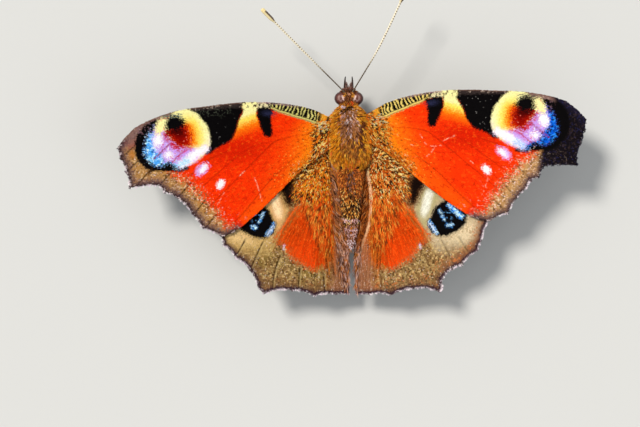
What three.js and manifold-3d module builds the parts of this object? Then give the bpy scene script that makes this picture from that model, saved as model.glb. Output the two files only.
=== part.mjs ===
// Peacock butterfly at life size, standing with its wings spread nearly flat.
// Millimetres. The head looks towards -Y, the back is up (+Z) and the floor is z = 0.
// The origin is on the floor, under the middle of the outline. The animal's left is +X.

import * as THREE from 'three';
import { mergeVertices } from 'three/addons/utils/BufferGeometryUtils.js';
import Module from 'manifold-3d';

const wasm = await Module();
wasm.setup();

// Driving dimensions
const clearance = 0.3;          // air between neighbouring pieces
const eyeClearance = 0.12;      // air between an eye and its socket
const wingThickness = 0.5;
const wingStagger = 0.42;       // forewings lie this much above the common wing surface, hindwings below
const wingRootLevel = 6.9;      // height of the common wing surface at the side of the thorax
const wingRootReach = 3.0;      // distance of a wing root from the body axis
const wingSlope = 0.1;          // rise of the wings towards their tips, as a slope
const wingArch = 0.65;          // extra height of the wings halfway out
const wingReach = 32.5;         // from the body axis to a forewing tip
const wingNoseUp = 0.018;       // slope of the wings, front edge high
const gutterDrop = 0.9;         // how far the hindwings hang down beside the abdomen
const gutterMiddle = 0.5;       // distance of that gutter's deepest line from the body axis
const gutterWidth = 2.4;        // how far out it fades away
const bodyTurn = 0.0183;        // sideways slope of the body axis, head towards the left
const bodyPivot = 3.9;          // where the body axis crosses x = 0

const headFront = -7.65;
const headRear = -5.25;
const collarFront = -4.95;
const collarRear = -4.25;
const thoraxFront = -3.95;
const thoraxRear = 3.15;
const abdomenFront = 3.45;
const abdomenTip = 15.3;

const sides = { left: 1, right: -1 };
const group = new THREE.Group();

// Colours and finish
const finish = {
  fur: new THREE.MeshStandardMaterial({ color: 0x9a6428, roughness: 0.9, metalness: 0 }),
  headFur: new THREE.MeshStandardMaterial({ color: 0x7d4a1e, roughness: 0.9, metalness: 0 }),
  forewing: new THREE.MeshStandardMaterial({ color: 0xe2400e, roughness: 0.7, metalness: 0 }),
  hindwing: new THREE.MeshStandardMaterial({ color: 0xb5622c, roughness: 0.7, metalness: 0 }),
  eye: new THREE.MeshStandardMaterial({ color: 0x6b3a35, roughness: 0.3, metalness: 0 }),
  feeler: new THREE.MeshStandardMaterial({ color: 0xb9a27e, roughness: 0.6, metalness: 0 }),
  mouthpart: new THREE.MeshStandardMaterial({ color: 0x2c2320, roughness: 0.6, metalness: 0 }),
  leg: new THREE.MeshStandardMaterial({ color: 0x6a5138, roughness: 0.6, metalness: 0 }),
};

// Names a geometry as one piece of the butterfly
function addPiece(name, geometry, material) {
  const mesh = new THREE.Mesh(geometry, material);
  mesh.name = name;
  group.add(mesh);
}

// Closed geometry to solid and back
function toSolid(geometry) {
  const bare = geometry.clone();
  bare.deleteAttribute('normal');
  bare.deleteAttribute('uv');
  const merged = mergeVertices(bare, 1e-4);
  const mesh = new wasm.Mesh({
    numProp: 3,
    vertProperties: new Float32Array(merged.attributes.position.array),
    triVerts: new Uint32Array(merged.index.array),
  });
  return new wasm.Manifold(mesh);
}

function toGeometry(solid) {
  const mesh = solid.getMesh();
  const geometry = new THREE.BufferGeometry();
  geometry.setAttribute('position', new THREE.BufferAttribute(new Float32Array(mesh.vertProperties), 3));
  geometry.setIndex(new THREE.BufferAttribute(new Uint32Array(mesh.triVerts), 1));
  geometry.computeVertexNormals();
  return geometry;
}

// Closed skin over a row of rings with equal point counts, with a flat cap at each end
function skinOver(rings) {
  const count = rings[0].length;
  const positions = [];
  const index = [];
  for (const ring of rings) {
    for (const point of ring) positions.push(point.x, point.y, point.z);
  }
  for (let row = 0; row + 1 < rings.length; row += 1) {
    for (let i = 0; i < count; i += 1) {
      const a = row * count + i;
      const b = row * count + (i + 1) % count;
      index.push(a, b, b + count, a, b + count, a + count);
    }
  }
  const last = (rings.length - 1) * count;
  for (let i = 1; i + 1 < count; i += 1) {
    index.push(0, i + 1, i);
    index.push(last, last + i, last + i + 1);
  }
  const geometry = new THREE.BufferGeometry();
  geometry.setAttribute('position', new THREE.Float32BufferAttribute(positions, 3));
  geometry.setIndex(index);
  geometry.computeVertexNormals();
  return geometry;
}

// Round tube along a curve, its radius given as a function of the fraction along it
function taperedTube(curve, radiusAt, steps, facets = 8) {
  const frames = curve.computeFrenetFrames(steps, false);
  const rings = [];
  for (let step = 0; step <= steps; step += 1) {
    const fraction = step / steps;
    const centre = curve.getPointAt(fraction);
    const radius = radiusAt(fraction);
    const ring = [];
    for (let i = 0; i < facets; i += 1) {
      const angle = (2 * Math.PI * (i + 0.5)) / facets;
      const point = centre.clone();
      point.addScaledVector(frames.normals[step], radius * Math.cos(angle));
      point.addScaledVector(frames.binormals[step], radius * Math.sin(angle));
      ring.push(point);
    }
    rings.push(ring);
  }
  return skinOver(rings);
}

function curveThrough(points) {
  return new THREE.CatmullRomCurve3(points.map(([x, y, z]) => new THREE.Vector3(x, y, z)));
}

// Body: half width, half height and middle height at each distance along it, out to the tips of the coat
const thoraxHalfWidth = 3.3;
const thoraxHalfHeight = 2.75;
const thoraxLevel = 6.0;
const abdomenHalfWidth = 2.1;
const headHalfWidth = 1.6;
const headHalfHeight = 1.35;
const headLevel = 5.75;

function axisX(y) {
  return bodyTurn * (bodyPivot - y);
}

function trunkSection(y) {
  const reach = y < 0 ? 5.4 : 3.86;
  const swell = (1 - (Math.abs(y) / reach) ** 3) ** 0.435;
  return { halfWidth: thoraxHalfWidth * swell, halfHeight: thoraxHalfHeight * swell, level: thoraxLevel };
}

function abdomenSection(y) {
  const fraction = (y - thoraxRear) / (abdomenTip - thoraxRear);
  const swell = Math.max(1 - fraction ** 1.35, 0) ** 0.72;
  const halfWidth = abdomenHalfWidth * swell;
  return { halfWidth, halfHeight: 0.97 * halfWidth, level: thoraxLevel - 0.4 * fraction };
}

function headSection(y) {
  const middle = -6.2;
  const swell = Math.max(1 - (Math.abs(y - middle) / (middle - headFront)) ** 2.6, 0) ** 0.45;
  return { halfWidth: headHalfWidth * swell, halfHeight: headHalfHeight * swell, level: headLevel };
}

// Body length between two stations; the stations crowd towards a rounded end
function bodyLength(section, front, rear, steps, grow = 0, roundEnd = 'none', facets = 22) {
  const rings = [];
  for (let step = 0; step <= steps; step += 1) {
    const even = step / steps;
    let fraction = even;
    if (roundEnd === 'rear') fraction = Math.sin((even * Math.PI) / 2);
    if (roundEnd === 'front') fraction = 1 - Math.cos((even * Math.PI) / 2);
    const y = front + (rear - front) * fraction;
    const { halfWidth, halfHeight, level } = section(y);
    const smallest = 0.05;
    const ring = [];
    for (let i = 0; i < facets; i += 1) {
      const angle = (2 * Math.PI * i) / facets;
      const x = axisX(y) + (Math.max(halfWidth, smallest) + grow) * Math.cos(angle);
      const z = level + (Math.max(halfHeight, smallest) + grow) * Math.sin(angle);
      ring.push(new THREE.Vector3(x, y, z));
    }
    rings.push(ring.reverse());
  }
  return skinOver(rings);
}

// The body grown by the clearance, which cuts back whatever meets it
const grownTrunk = toSolid(bodyLength(trunkSection, collarFront - clearance, thoraxRear, 12, clearance));
const grownAbdomen = toSolid(
  bodyLength(abdomenSection, thoraxRear, abdomenTip, 12, clearance, 'rear'),
);
const grownHead = toSolid(bodyLength(headSection, headFront, headRear, 8, clearance));
const grownBody = grownTrunk.add(grownAbdomen).add(grownHead);

function cutByBody(geometry) {
  return toGeometry(toSolid(geometry).subtract(grownBody));
}

// Eyes: domes on the sides of the head
const eyeMiddle = [1.05, -6.3, 5.85];
const eyeRadii = [1.0, 0.95, 1.12];
const eyeInnerFace = 0.6;

function eyeDome(side, grow) {
  const ball = new THREE.SphereGeometry(1, 18, 12);
  ball.rotateZ(Math.PI / 2);
  ball.scale(eyeRadii[0] + grow, eyeRadii[1] + grow, eyeRadii[2] + grow);
  const headX = axisX(eyeMiddle[1]);
  ball.translate(headX + side * eyeMiddle[0], eyeMiddle[1], eyeMiddle[2]);
  const inner = new THREE.BoxGeometry(4, 4, 4);
  inner.translate(headX + side * (eyeInnerFace - grow - 2), eyeMiddle[1], eyeMiddle[2]);
  return toSolid(ball).subtract(toSolid(inner));
}

function addHead() {
  let head = toSolid(bodyLength(headSection, headFront, headRear, 8, 0, 'front'));
  for (const side of Object.values(sides)) head = head.subtract(eyeDome(side, eyeClearance));
  addPiece('head', toGeometry(head), finish.headFur);
  for (const [name, side] of Object.entries(sides)) {
    addPiece(`eye_${name}`, toGeometry(eyeDome(side, 0)), finish.eye);
  }
}

function addTrunk() {
  addPiece('prothorax', bodyLength(trunkSection, collarFront, collarRear, 2), finish.fur);
  addPiece('thorax', bodyLength(trunkSection, thoraxFront, thoraxRear, 9), finish.fur);
  addPiece('abdomen', bodyLength(abdomenSection, abdomenFront, abdomenTip, 10, 0, 'rear'), finish.fur);
}

// Mouthparts: two palps that rise in front of the face, and the tongue, coiled under the head
const palpRadius = 0.29;
const palpTaper = 0.5;          // loss of radius over the last quarter, for each unit of fraction
const coilRadius = 0.75;
const coilThickness = 0.5;

function palpRadiusAt(fraction) {
  return palpRadius - palpTaper * Math.max(fraction - 0.75, 0);
}

function addMouthparts() {
  const headX = axisX(headFront);
  for (const [name, side] of Object.entries(sides)) {
    const curve = curveThrough([
      [headX + side * 0.52, -6.9, 4.75],
      [headX + side * 0.56, -7.9, 4.95],
      [headX + side * 0.53, -8.7, 5.55],
      [headX + side * 0.48, -9.25, 6.3],
    ]);
    addPiece(`palp_${name}`, cutByBody(taperedTube(curve, palpRadiusAt, 7)), finish.mouthpart);
  }
  const coil = new THREE.CylinderGeometry(coilRadius, coilRadius, coilThickness, 20);
  coil.rotateZ(Math.PI / 2);
  coil.translate(headX, -7.45, 3.95);
  addPiece('proboscis', cutByBody(coil), finish.mouthpart);
}

// Feelers: thin shafts that end in slender clubs
const antennaRoutes = {
  left: [[0.9, -7.0, 6.5], [1.2, -7.5, 6.85], [6.5, -12.6, 9.1], [12.4, -18.45, 10.6]],
  right: [[-0.35, -7.0, 6.5], [-0.6, -7.6, 6.9], [-4.15, -13.6, 9.2], [-7.95, -21.65, 10.6]],
};

const shaftRadius = 0.25;
const clubStart = 0.82;         // fraction of the feeler where its club begins
const clubSwell = 0.11;         // extra radius of the club
const clubTipTaper = 0.2;

function antennaRadius(fraction) {
  if (fraction < clubStart) return shaftRadius;
  const along = (fraction - clubStart) / (1 - clubStart);
  const swell = clubSwell * Math.sin(Math.min(along * 1.35, 1) * (Math.PI / 2));
  return shaftRadius + swell - clubTipTaper * Math.max(along - 0.8, 0);
}

function addAntennae() {
  for (const [name, route] of Object.entries(antennaRoutes)) {
    const tube = taperedTube(curveThrough(route), antennaRadius, 20);
    addPiece(`antenna_${name}`, cutByBody(tube), finish.feeler);
  }
}

// Wings. An outline runs in the wing's own plane: u outwards from the hinge, v to the rear.
// Each vein ends in a point of the outer margin, and the margin is hollow between two of them.
// The margins are worn a little differently on the two sides.
const forewingCentre = [18, 4.5];
const forewingHollow = 0.09;
const forewings = {
  left: {
    costa: [[-0.8, -0.2], [0.6, -1.0], [3, -2.05], [7, -2.85], [12, -3.12], [17, -2.75], [21, -2.3],
      [24.5, -1.3], [27.5, 0.15], [29.65, 2.6]],
    veinEnds: [[29.65, 2.6], [29.35, 4.1], [28.55, 6.1], [28.3, 8.35], [24.2, 8.1], [23.3, 9.15],
      [21.65, 9.95], [19.5, 12.5], [18.25, 14.4], [15.8, 15.6]],
    inner: [[15.8, 15.6], [14.4, 15.35], [12, 13.8], [8, 10.4], [4, 6.7], [1, 4.6], [-0.8, 3.8]],
    centre: forewingCentre,
    hollow: forewingHollow,
  },
  right: {
    costa: [[-0.8, -0.2], [0.6, -1.0], [3, -2.05], [7, -2.85], [12, -3.12], [17, -2.75], [21, -2.4],
      [24.5, -1.7], [27.5, -0.55], [29.8, 1.9]],
    veinEnds: [[29.8, 1.9], [29.6, 3.4], [28.95, 5.3], [28.45, 6.3], [28.3, 8.35], [23.7, 8.25],
      [22.9, 9.8], [21.7, 10.1], [21.0, 11.3], [19.65, 12.6], [18.4, 14.55], [15.8, 15.6]],
    inner: [[15.8, 15.6], [13.8, 15.15], [11.6, 13.75], [9.3, 12.0], [5.4, 8.7], [3.3, 6.7], [1, 4.7],
      [-0.8, 3.8]],
    centre: forewingCentre,
    hollow: forewingHollow,
  },
};
const hindwingCosta = [[0, -1.2], [4, 0], [9, 3], [13.5, 6.2], [16.5, 9], [17.1, 11.0]];
const hindwingInner = [[-1.7, 21.6], [-1.88, 20.9], [-1.9, 11], [-1.9, 1]];
const hindwingCentre = [7.5, 11];
const hindwingHollow = 0.085;
const hindwings = {
  left: {
    costa: hindwingCosta,
    veinEnds: [[17.1, 11.0], [15.85, 14.2], [14.2, 15.95], [12.2, 17.8], [11.05, 20.4], [10.3, 21.15],
      [6.4, 20.7], [3.2, 21.6], [0, 21.45], [-1.7, 21.6]],
    inner: hindwingInner,
    centre: hindwingCentre,
    hollow: hindwingHollow,
  },
  right: {
    costa: hindwingCosta,
    veinEnds: [[17.1, 11.0], [16.0, 14.0], [15.4, 15.45], [13.2, 17.4], [11.85, 17.95], [10.4, 19.35],
      [10.4, 20.65], [10.05, 21.2], [6.4, 20.7], [3.2, 21.6], [0, 21.45], [-1.7, 21.6]],
    inner: hindwingInner,
    centre: hindwingCentre,
    hollow: hindwingHollow,
  },
};
const wingPoses = {
  forewing_left: { shape: forewings.left, side: sides.left, hinge: [3.0, -3.03], turn: -2.47, stagger: 1 },
  forewing_right: { shape: forewings.right, side: sides.right, hinge: [2.95, -3.77], turn: 2.47, stagger: 1 },
  hindwing_left: { shape: hindwings.left, side: sides.left, hinge: [2.2, 0], turn: -0.9, stagger: -1 },
  hindwing_right: { shape: hindwings.right, side: sides.right, hinge: [2.2, 0], turn: 0.9, stagger: -1 },
};

function smoothLine(points, pieces) {
  return new THREE.SplineCurve(points.map(([u, v]) => new THREE.Vector2(u, v))).getPoints(pieces);
}

function hollowMargin(veinEnds, centre, hollow) {
  const line = [];
  const inward = new THREE.Vector2(...centre);
  for (let i = 0; i + 1 < veinEnds.length; i += 1) {
    const from = new THREE.Vector2(...veinEnds[i]);
    const to = new THREE.Vector2(...veinEnds[i + 1]);
    const depth = hollow * from.distanceTo(to);
    const pieces = 4;
    for (let k = 0; k < pieces; k += 1) {
      const point = from.clone().lerp(to, k / pieces);
      const pull = inward.clone().sub(point).normalize();
      line.push(point.addScaledVector(pull, depth * Math.sin((Math.PI * k) / pieces)));
    }
  }
  return line;
}

function wingOutline({ costa, veinEnds, inner, centre, hollow }) {
  const front = smoothLine(costa, 16).slice(0, -1);
  const margin = hollowMargin(veinEnds, centre, hollow);
  const rear = smoothLine(inner, 10);
  return [...front, ...margin, ...rear];
}

// Height of the common wing surface at a distance out from the body axis and a distance along it
function wingLevel(out, y) {
  const beyond = out - wingRootReach;
  const arch = wingArch * Math.sin((Math.PI * Math.max(beyond, 0)) / (wingReach - wingRootReach));
  return wingRootLevel + wingSlope * beyond + arch - wingNoseUp * y;
}

function placeOnWing({ side, hinge, turn, stagger }, u, v) {
  const angle = THREE.MathUtils.degToRad(turn);
  const out = hinge[0] + u * Math.cos(angle) + v * Math.sin(angle);
  const y = hinge[1] - u * Math.sin(angle) + v * Math.cos(angle);
  let z = wingLevel(out, y) + stagger * wingStagger;
  if (stagger < 0) z -= gutterDrop * Math.exp(-(((out - gutterMiddle) / gutterWidth) ** 2));
  return new THREE.Vector3(side * out, y, z);
}

function wingSolid(pose) {
  const outline = wingOutline(pose.shape);
  const count = outline.length;
  const [middleU, middleV] = pose.shape.centre;
  const reaches = [0.4, 0.75, 1];
  const positions = [];
  const index = [];
  for (const half of [wingThickness / 2, -wingThickness / 2]) {
    const middle = placeOnWing(pose, middleU, middleV);
    positions.push(middle.x, middle.y, middle.z + half);
    for (const reach of reaches) {
      for (const { x: u, y: v } of outline) {
        const point = placeOnWing(pose, middleU + reach * (u - middleU), middleV + reach * (v - middleV));
        positions.push(point.x, point.y, point.z + half);
      }
    }
  }
  const layer = 1 + reaches.length * count;
  const face = (a, b, c) => (pose.side > 0 ? index.push(a, b, c) : index.push(a, c, b));
  for (let i = 0; i < count; i += 1) {
    const next = (i + 1) % count;
    face(0, 1 + i, 1 + next);
    face(layer, layer + 1 + next, layer + 1 + i);
    for (let ring = 0; ring + 1 < reaches.length; ring += 1) {
      const a = 1 + ring * count + i;
      const b = 1 + ring * count + next;
      face(a, a + count, b + count);
      face(a, b + count, b);
      face(layer + a, layer + b + count, layer + a + count);
      face(layer + a, layer + b, layer + b + count);
    }
    const rim = 1 + (reaches.length - 1) * count;
    face(rim + i, layer + rim + i, layer + rim + next);
    face(rim + i, layer + rim + next, rim + next);
  }
  const geometry = new THREE.BufferGeometry();
  geometry.setAttribute('position', new THREE.Float32BufferAttribute(positions, 3));
  geometry.setIndex(index);
  geometry.computeVertexNormals();
  return geometry;
}

function addWings() {
  for (const [name, pose] of Object.entries(wingPoses)) {
    const material = pose.stagger > 0 ? finish.forewing : finish.hindwing;
    addPiece(name, cutByBody(wingSolid(pose)), material);
  }
}

// Legs. The middle and hind pairs walk; the front pair is short and folded against the breast.
// A leg is given by its hip, knee, ankle and toe, for the left side.
const walkingLegs = {
  midleg: { hip: [1.2, -1.4, 4.2], knee: [5.2, -2.4, 5.0], ankle: [7.9, -3.6, 0.75], toe: [10.9, -4.8, 0] },
  hindleg: { hip: [1.1, 1.6, 4.2], knee: [4.9, 4.8, 4.9], ankle: [7.1, 8.9, 0.75], toe: [8.4, 12.4, 0] },
};
const legRadius = { hip: 0.36, thigh: 0.44, knee: 0.32, ankle: 0.26, foot: 0.26 };
const soleStart = 0.28;         // fraction of the foot that comes down before the sole lies flat
const forelegRadius = 0.3;

function femurTube(hip, knee, grow) {
  const end = along(knee, hip, -grow);
  const radiusAt = (fraction) => {
    const swell = Math.sin(Math.PI * Math.min(fraction / 0.8, 1));
    const plain = legRadius.hip + (legRadius.knee - legRadius.hip) * fraction;
    return plain + (legRadius.thigh - legRadius.hip) * swell + grow;
  };
  return taperedTube(new THREE.LineCurve3(hip, end), radiusAt, 5);
}

function tibiaTube(knee, ankle, grow) {
  const radiusAt = (fraction) => legRadius.knee + (legRadius.ankle - legRadius.knee) * fraction + grow;
  return taperedTube(new THREE.LineCurve3(knee, along(ankle, knee, -grow)), radiusAt, 3);
}

// A point at a distance from one end of a line, measured towards its other end
function along(from, to, distance) {
  return from.clone().addScaledVector(to.clone().sub(from).normalize(), distance);
}

// The foot comes down from the ankle and then lies along the floor on a flat sole
function footTube(ankle, toe) {
  const facets = 8;
  const height = legRadius.foot * Math.cos(Math.PI / facets);
  const landing = ankle.clone().lerp(toe, soleStart).setZ(height);
  const end = toe.clone().setZ(height);
  const heading = end.clone().sub(landing).normalize();
  const across = new THREE.Vector3(-heading.y, heading.x, 0);
  const rings = [ankle, landing, end].map((centre) => {
    const ring = [];
    for (let i = 0; i < facets; i += 1) {
      const angle = (2 * Math.PI * (i + 0.5)) / facets;
      const point = centre.clone().addScaledVector(across, legRadius.foot * Math.cos(angle));
      point.z += legRadius.foot * Math.sin(angle);
      ring.push(point);
    }
    return ring;
  });
  return skinOver(rings);
}

function addWalkingLegs() {
  for (const [sideName, side] of Object.entries(sides)) {
    for (const [legName, leg] of Object.entries(walkingLegs)) {
      const place = ([x, y, z]) => new THREE.Vector3(side * x, y, z);
      const [hip, knee, ankle, toe] = [leg.hip, leg.knee, leg.ankle, leg.toe].map(place);
      const tibia = toSolid(tibiaTube(knee, ankle, 0)).subtract(toSolid(femurTube(hip, knee, clearance)));
      const tarsus = toSolid(footTube(ankle, toe)).subtract(toSolid(tibiaTube(knee, ankle, clearance)));
      const name = `${legName}_${sideName}`;
      addPiece(`${name}_femur`, cutByBody(femurTube(hip, knee, 0)), finish.leg);
      addPiece(`${name}_tibia`, toGeometry(tibia), finish.leg);
      addPiece(`${name}_tarsus`, toGeometry(tarsus), finish.leg);
    }
  }
}

function addForelegs() {
  for (const [name, side] of Object.entries(sides)) {
    const curve = curveThrough([
      [side * 0.85, -3.2, 3.7],
      [side * 1.05, -4.3, 3.25],
      [side * 0.95, -5.4, 3.3],
      [side * 0.7, -6.4, 3.75],
    ]);
    addPiece(`foreleg_${name}`, cutByBody(taperedTube(curve, () => forelegRadius, 6)), finish.leg);
  }
}

addHead();
addTrunk();
addMouthparts();
addAntennae();
addWings();
addWalkingLegs();
addForelegs();

export default group;
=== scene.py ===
# Peacock butterfly: skin, scales, fur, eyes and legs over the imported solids.
# Sizes are in millimetres and turned into metres when a mesh is made.
# The head looks towards -Y, the back is up (+Z) and the animal's left is +X.
import math

import bmesh
import bpy
import numpy as np
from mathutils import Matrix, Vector
from mathutils.geometry import delaunay_2d_cdt


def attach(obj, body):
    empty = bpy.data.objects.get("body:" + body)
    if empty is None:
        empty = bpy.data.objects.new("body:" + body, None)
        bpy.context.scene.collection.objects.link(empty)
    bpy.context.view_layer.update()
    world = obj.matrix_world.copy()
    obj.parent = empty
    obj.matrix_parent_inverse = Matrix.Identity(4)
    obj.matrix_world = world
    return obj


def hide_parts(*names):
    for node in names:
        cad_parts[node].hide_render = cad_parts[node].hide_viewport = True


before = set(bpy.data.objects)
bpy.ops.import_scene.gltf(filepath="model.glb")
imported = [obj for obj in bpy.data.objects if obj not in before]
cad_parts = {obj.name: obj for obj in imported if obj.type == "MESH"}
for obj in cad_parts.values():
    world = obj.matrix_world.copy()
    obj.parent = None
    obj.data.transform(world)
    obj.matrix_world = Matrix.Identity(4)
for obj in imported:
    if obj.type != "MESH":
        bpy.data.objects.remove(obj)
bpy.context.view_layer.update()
MM = 0.001
SIDES = {"left": 1, "right": -1}


# Colour, noise and distance
def tone(red, green, blue):
    """Linear colour from the everyday 0-255 values."""
    share = np.array([red, green, blue]) / 255.0
    return np.where(share <= 0.04045, share / 12.92, ((share + 0.055) / 1.055) ** 2.4)


def lay_over(colours, strength, colour):
    """Moves the colours towards another one, each as far as its strength says."""
    colours += np.asarray(strength)[:, None] * (colour - colours)


def clouds(u, v, size, seed):
    """Smooth noise between -1 and 1, its lumps about the given size across."""
    x = np.asarray(u) / size + 37.0 * seed
    y = np.asarray(v) / size - 19.0 * seed
    left, low = np.floor(x), np.floor(y)
    across, up = x - left, y - low
    across = across * across * (3 - 2 * across)
    up = up * up * (3 - 2 * up)

    def corner(dx, dy):
        mix = np.sin((left + dx) * 127.1 + (low + dy) * 311.7 + seed * 74.7) * 43758.5453
        return 2 * (mix - np.floor(mix)) - 1

    bottom = corner(0, 0) * (1 - across) + corner(1, 0) * across
    top = corner(0, 1) * (1 - across) + corner(1, 1) * across
    return bottom * (1 - up) + top * up


def ramp(value, start, end):
    """0 up to the start and 1 from the end on, with a smooth rise between."""
    share = np.clip((value - start) / (end - start), 0, 1)
    return share * share * (3 - 2 * share)


def spline(points, pieces):
    """Smooth line through the points, in equal steps from the first to the last."""
    points = np.asarray(points, float)
    last = len(points) - 1
    place = np.linspace(0, last, pieces + 1)
    before = np.minimum(place.astype(int), last - 1)
    t = (place - before)[:, None]
    p0, p1 = points[np.maximum(before - 1, 0)], points[before]
    p2, p3 = points[before + 1], points[np.minimum(before + 2, last)]
    bend = (2 * p0 - 5 * p1 + 4 * p2 - p3) * t ** 2 + (3 * (p1 - p2) + p3 - p0) * t ** 3
    return p1 + 0.5 * ((p2 - p0) * t + bend)


def ring(points, pieces=5):
    """Smooth closed line round the points."""
    count = len(points)
    wide = spline(list(points[-2:]) + list(points) + list(points[:3]), (count + 4) * pieces)
    return wide[2 * pieces:(count + 2) * pieces]


def path_distance(u, v, path):
    """Distance to an open line, and how far along it the nearest place is."""
    best = np.full(u.shape, 1e9)
    along = np.zeros(u.shape)
    run = 0.0
    for start, end in zip(path[:-1], path[1:]):
        step = end - start
        length = float(np.hypot(*step))
        share = np.clip(((u - start[0]) * step[0] + (v - start[1]) * step[1]) / length ** 2, 0, 1)
        gap = np.hypot(u - start[0] - share * step[0], v - start[1] - share * step[1])
        nearer = gap < best
        best[nearer] = gap[nearer]
        along[nearer] = run + share[nearer] * length
        run += length
    return best, along


def depth_inside(u, v, line, reach=1.5):
    """Distance to a closed line, positive inside it; -9 where the line is far away."""
    depth = np.full(u.shape, -9.0)
    low, high = line.min(0) - reach, line.max(0) + reach
    near = (u > low[0]) & (u < high[0]) & (v > low[1]) & (v < high[1])
    if not near.any():
        return depth
    x, y = u[near], v[near]
    inside = np.zeros(x.shape, bool)
    for (x0, y0), (x1, y1) in zip(line, np.roll(line, -1, axis=0)):
        if y0 != y1:
            crosses = ((y0 > y) != (y1 > y)) & (x < (x1 - x0) * (y - y0) / (y1 - y0) + x0)
            inside ^= crosses
    gap, _ = path_distance(x, y, np.vstack([line, line[:1]]))
    depth[near] = np.where(inside, gap, -gap)
    return depth


def highest(lumps, share, soft):
    """1 where the noise is highest, in about the given share of places, and 0 elsewhere."""
    start = 0.95 - 1.7 * share
    return ramp(lumps, start, start + soft)


FAN_REACH = 6                   # mm from the middle of a fan at which its streaks have their given width
DOUBLING_REACH = 6.5            # the number of flecks side by side doubles with this distance
GRAIN_SHARE = 0.35              # how far the single scale decides whether it belongs to a fleck


class Markings:
    """Colours of many places on a wing, painted layer over layer.

    u and v are the places, grain a chance number from -1 to 1 for each, side 1 on the left wing and -1 on
    the right one, and rim the distance to the outline.
    """

    def __init__(self, u, v, grain, side, outline, centre=(0, 0)):
        """Veins, streaks and flecks fan out from the centre."""
        self.u, self.v, self.grain, self.side = u, v, grain, side
        self.rim = depth_inside(u, v, outline, 3)
        self.colour = np.zeros((len(u), 3))
        self.sweep = np.arctan2(u - centre[0], v - centre[1])
        self.reach = np.hypot(u - centre[0], v - centre[1])
        self.finer = 2.0 ** np.round(np.log2(np.maximum(self.reach, 1.0) / DOUBLING_REACH))

    def places(self):
        return self.u, self.v, self.grain

    def by_side(self, left, right):
        return left if self.side > 0 else right

    def streaks(self, across, along, seed):
        """Noise between -1 and 1, drawn out along the fan."""
        return clouds(FAN_REACH * self.sweep / across, self.reach / along, 1.0, seed)

    def flecks(self, across, along, seed, share):
        """1 in a random share of short strokes along the fan, elsewhere 0."""
        lumps = clouds(FAN_REACH * self.finer * self.sweep / across, self.reach / along, 1.0, seed)
        return highest(lumps + GRAIN_SHARE * self.grain, share, 0.2)

    def specks(self, size, seed, share):
        """1 in a random share of small lumps, elsewhere 0."""
        return highest(clouds(self.u, self.v, 1.4 * size, seed) + GRAIN_SHARE * self.grain, share, 0.1)

    def lay(self, strength, colour):
        lay_over(self.colour, strength, colour)

    def lay_flecks(self, strength, across, along, seed, share, colour):
        self.lay(strength * self.flecks(across, along, seed, share), colour)

    def lay_specks(self, strength, size, seed, share, colour):
        self.lay(strength * self.specks(size, seed, share), colour)

    def edge(self, depth, soft=0.14, ragged=0.16):
        """1 inside a marking and 0 outside it, with a soft edge that the single scales fray."""
        return np.clip(0.5 + (depth + ragged * self.grain) / soft, 0, 1)

    def patch(self, points, colour, soft=0.14, ragged=0.16, strength=1.0):
        depth = depth_inside(self.u, self.v, ring(points))
        self.lay(strength * self.edge(depth, soft, ragged), colour)
        return depth

    def oval(self, centre, along, across, lean, colour, soft=0.2, ragged=0.2):
        cos, sin = np.cos(lean), np.sin(lean)
        du, dv = self.u - centre[0], self.v - centre[1]
        far = np.hypot((du * cos + dv * sin) / along, (dv * cos - du * sin) / across)
        self.lay(self.edge((1 - far) * min(along, across), soft, ragged), colour)

    def line(self, points, width, colour, strength=1.0, ragged=0.05, soft=0.12, fade=0.0):
        gap, along = path_distance(self.u, self.v, spline(points, 5 * (len(points) - 1)))
        cover = self.edge(width / 2 - gap, soft, ragged)
        if fade:
            cover = cover * ramp(along, 0, fade)
        self.lay(strength * cover, colour)


# Wing outlines, u outwards from the hinge and v to the rear; the margins are worn a little differently
FOREWING_CENTRE = (18, 4.5)
FOREWING_HOLLOW = 0.09
FOREWINGS = {
    1: {
        "costa": [(-0.8, -0.2), (0.6, -1.0), (3, -2.05), (7, -2.85), (12, -3.12), (17, -2.75), (21, -2.3),
                  (24.5, -1.3), (27.5, 0.15), (29.65, 2.6)],
        "vein_ends": [(29.65, 2.6), (29.35, 4.1), (28.55, 6.1), (28.3, 8.35), (24.2, 8.1), (23.3, 9.15),
                      (21.65, 9.95), (19.5, 12.5), (18.25, 14.4), (15.8, 15.6)],
        "inner": [(15.8, 15.6), (14.4, 15.35), (12, 13.8), (8, 10.4), (4, 6.7), (1, 4.6), (-0.8, 3.8)],
        "centre": FOREWING_CENTRE,
        "hollow": FOREWING_HOLLOW,
    },
    -1: {
        "costa": [(-0.8, -0.2), (0.6, -1.0), (3, -2.05), (7, -2.85), (12, -3.12), (17, -2.75), (21, -2.4),
                  (24.5, -1.7), (27.5, -0.55), (29.8, 1.9)],
        "vein_ends": [(29.8, 1.9), (29.6, 3.4), (28.95, 5.3), (28.45, 6.3), (28.3, 8.35), (23.7, 8.25),
                      (22.9, 9.8), (21.7, 10.1), (21.0, 11.3), (19.65, 12.6), (18.4, 14.55), (15.8, 15.6)],
        "inner": [(15.8, 15.6), (13.8, 15.15), (11.6, 13.75), (9.3, 12.0), (5.4, 8.7), (3.3, 6.7), (1, 4.7),
                  (-0.8, 3.8)],
        "centre": FOREWING_CENTRE,
        "hollow": FOREWING_HOLLOW,
    },
}
HINDWING_COSTA = [(0, -1.2), (4, 0), (9, 3), (13.5, 6.2), (16.5, 9), (17.1, 11.0)]
HINDWING_INNER = [(-1.7, 21.6), (-1.88, 20.9), (-1.9, 11), (-1.9, 1)]
HINDWING_CENTRE = (7.5, 11)
HINDWING_HOLLOW = 0.085
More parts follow.
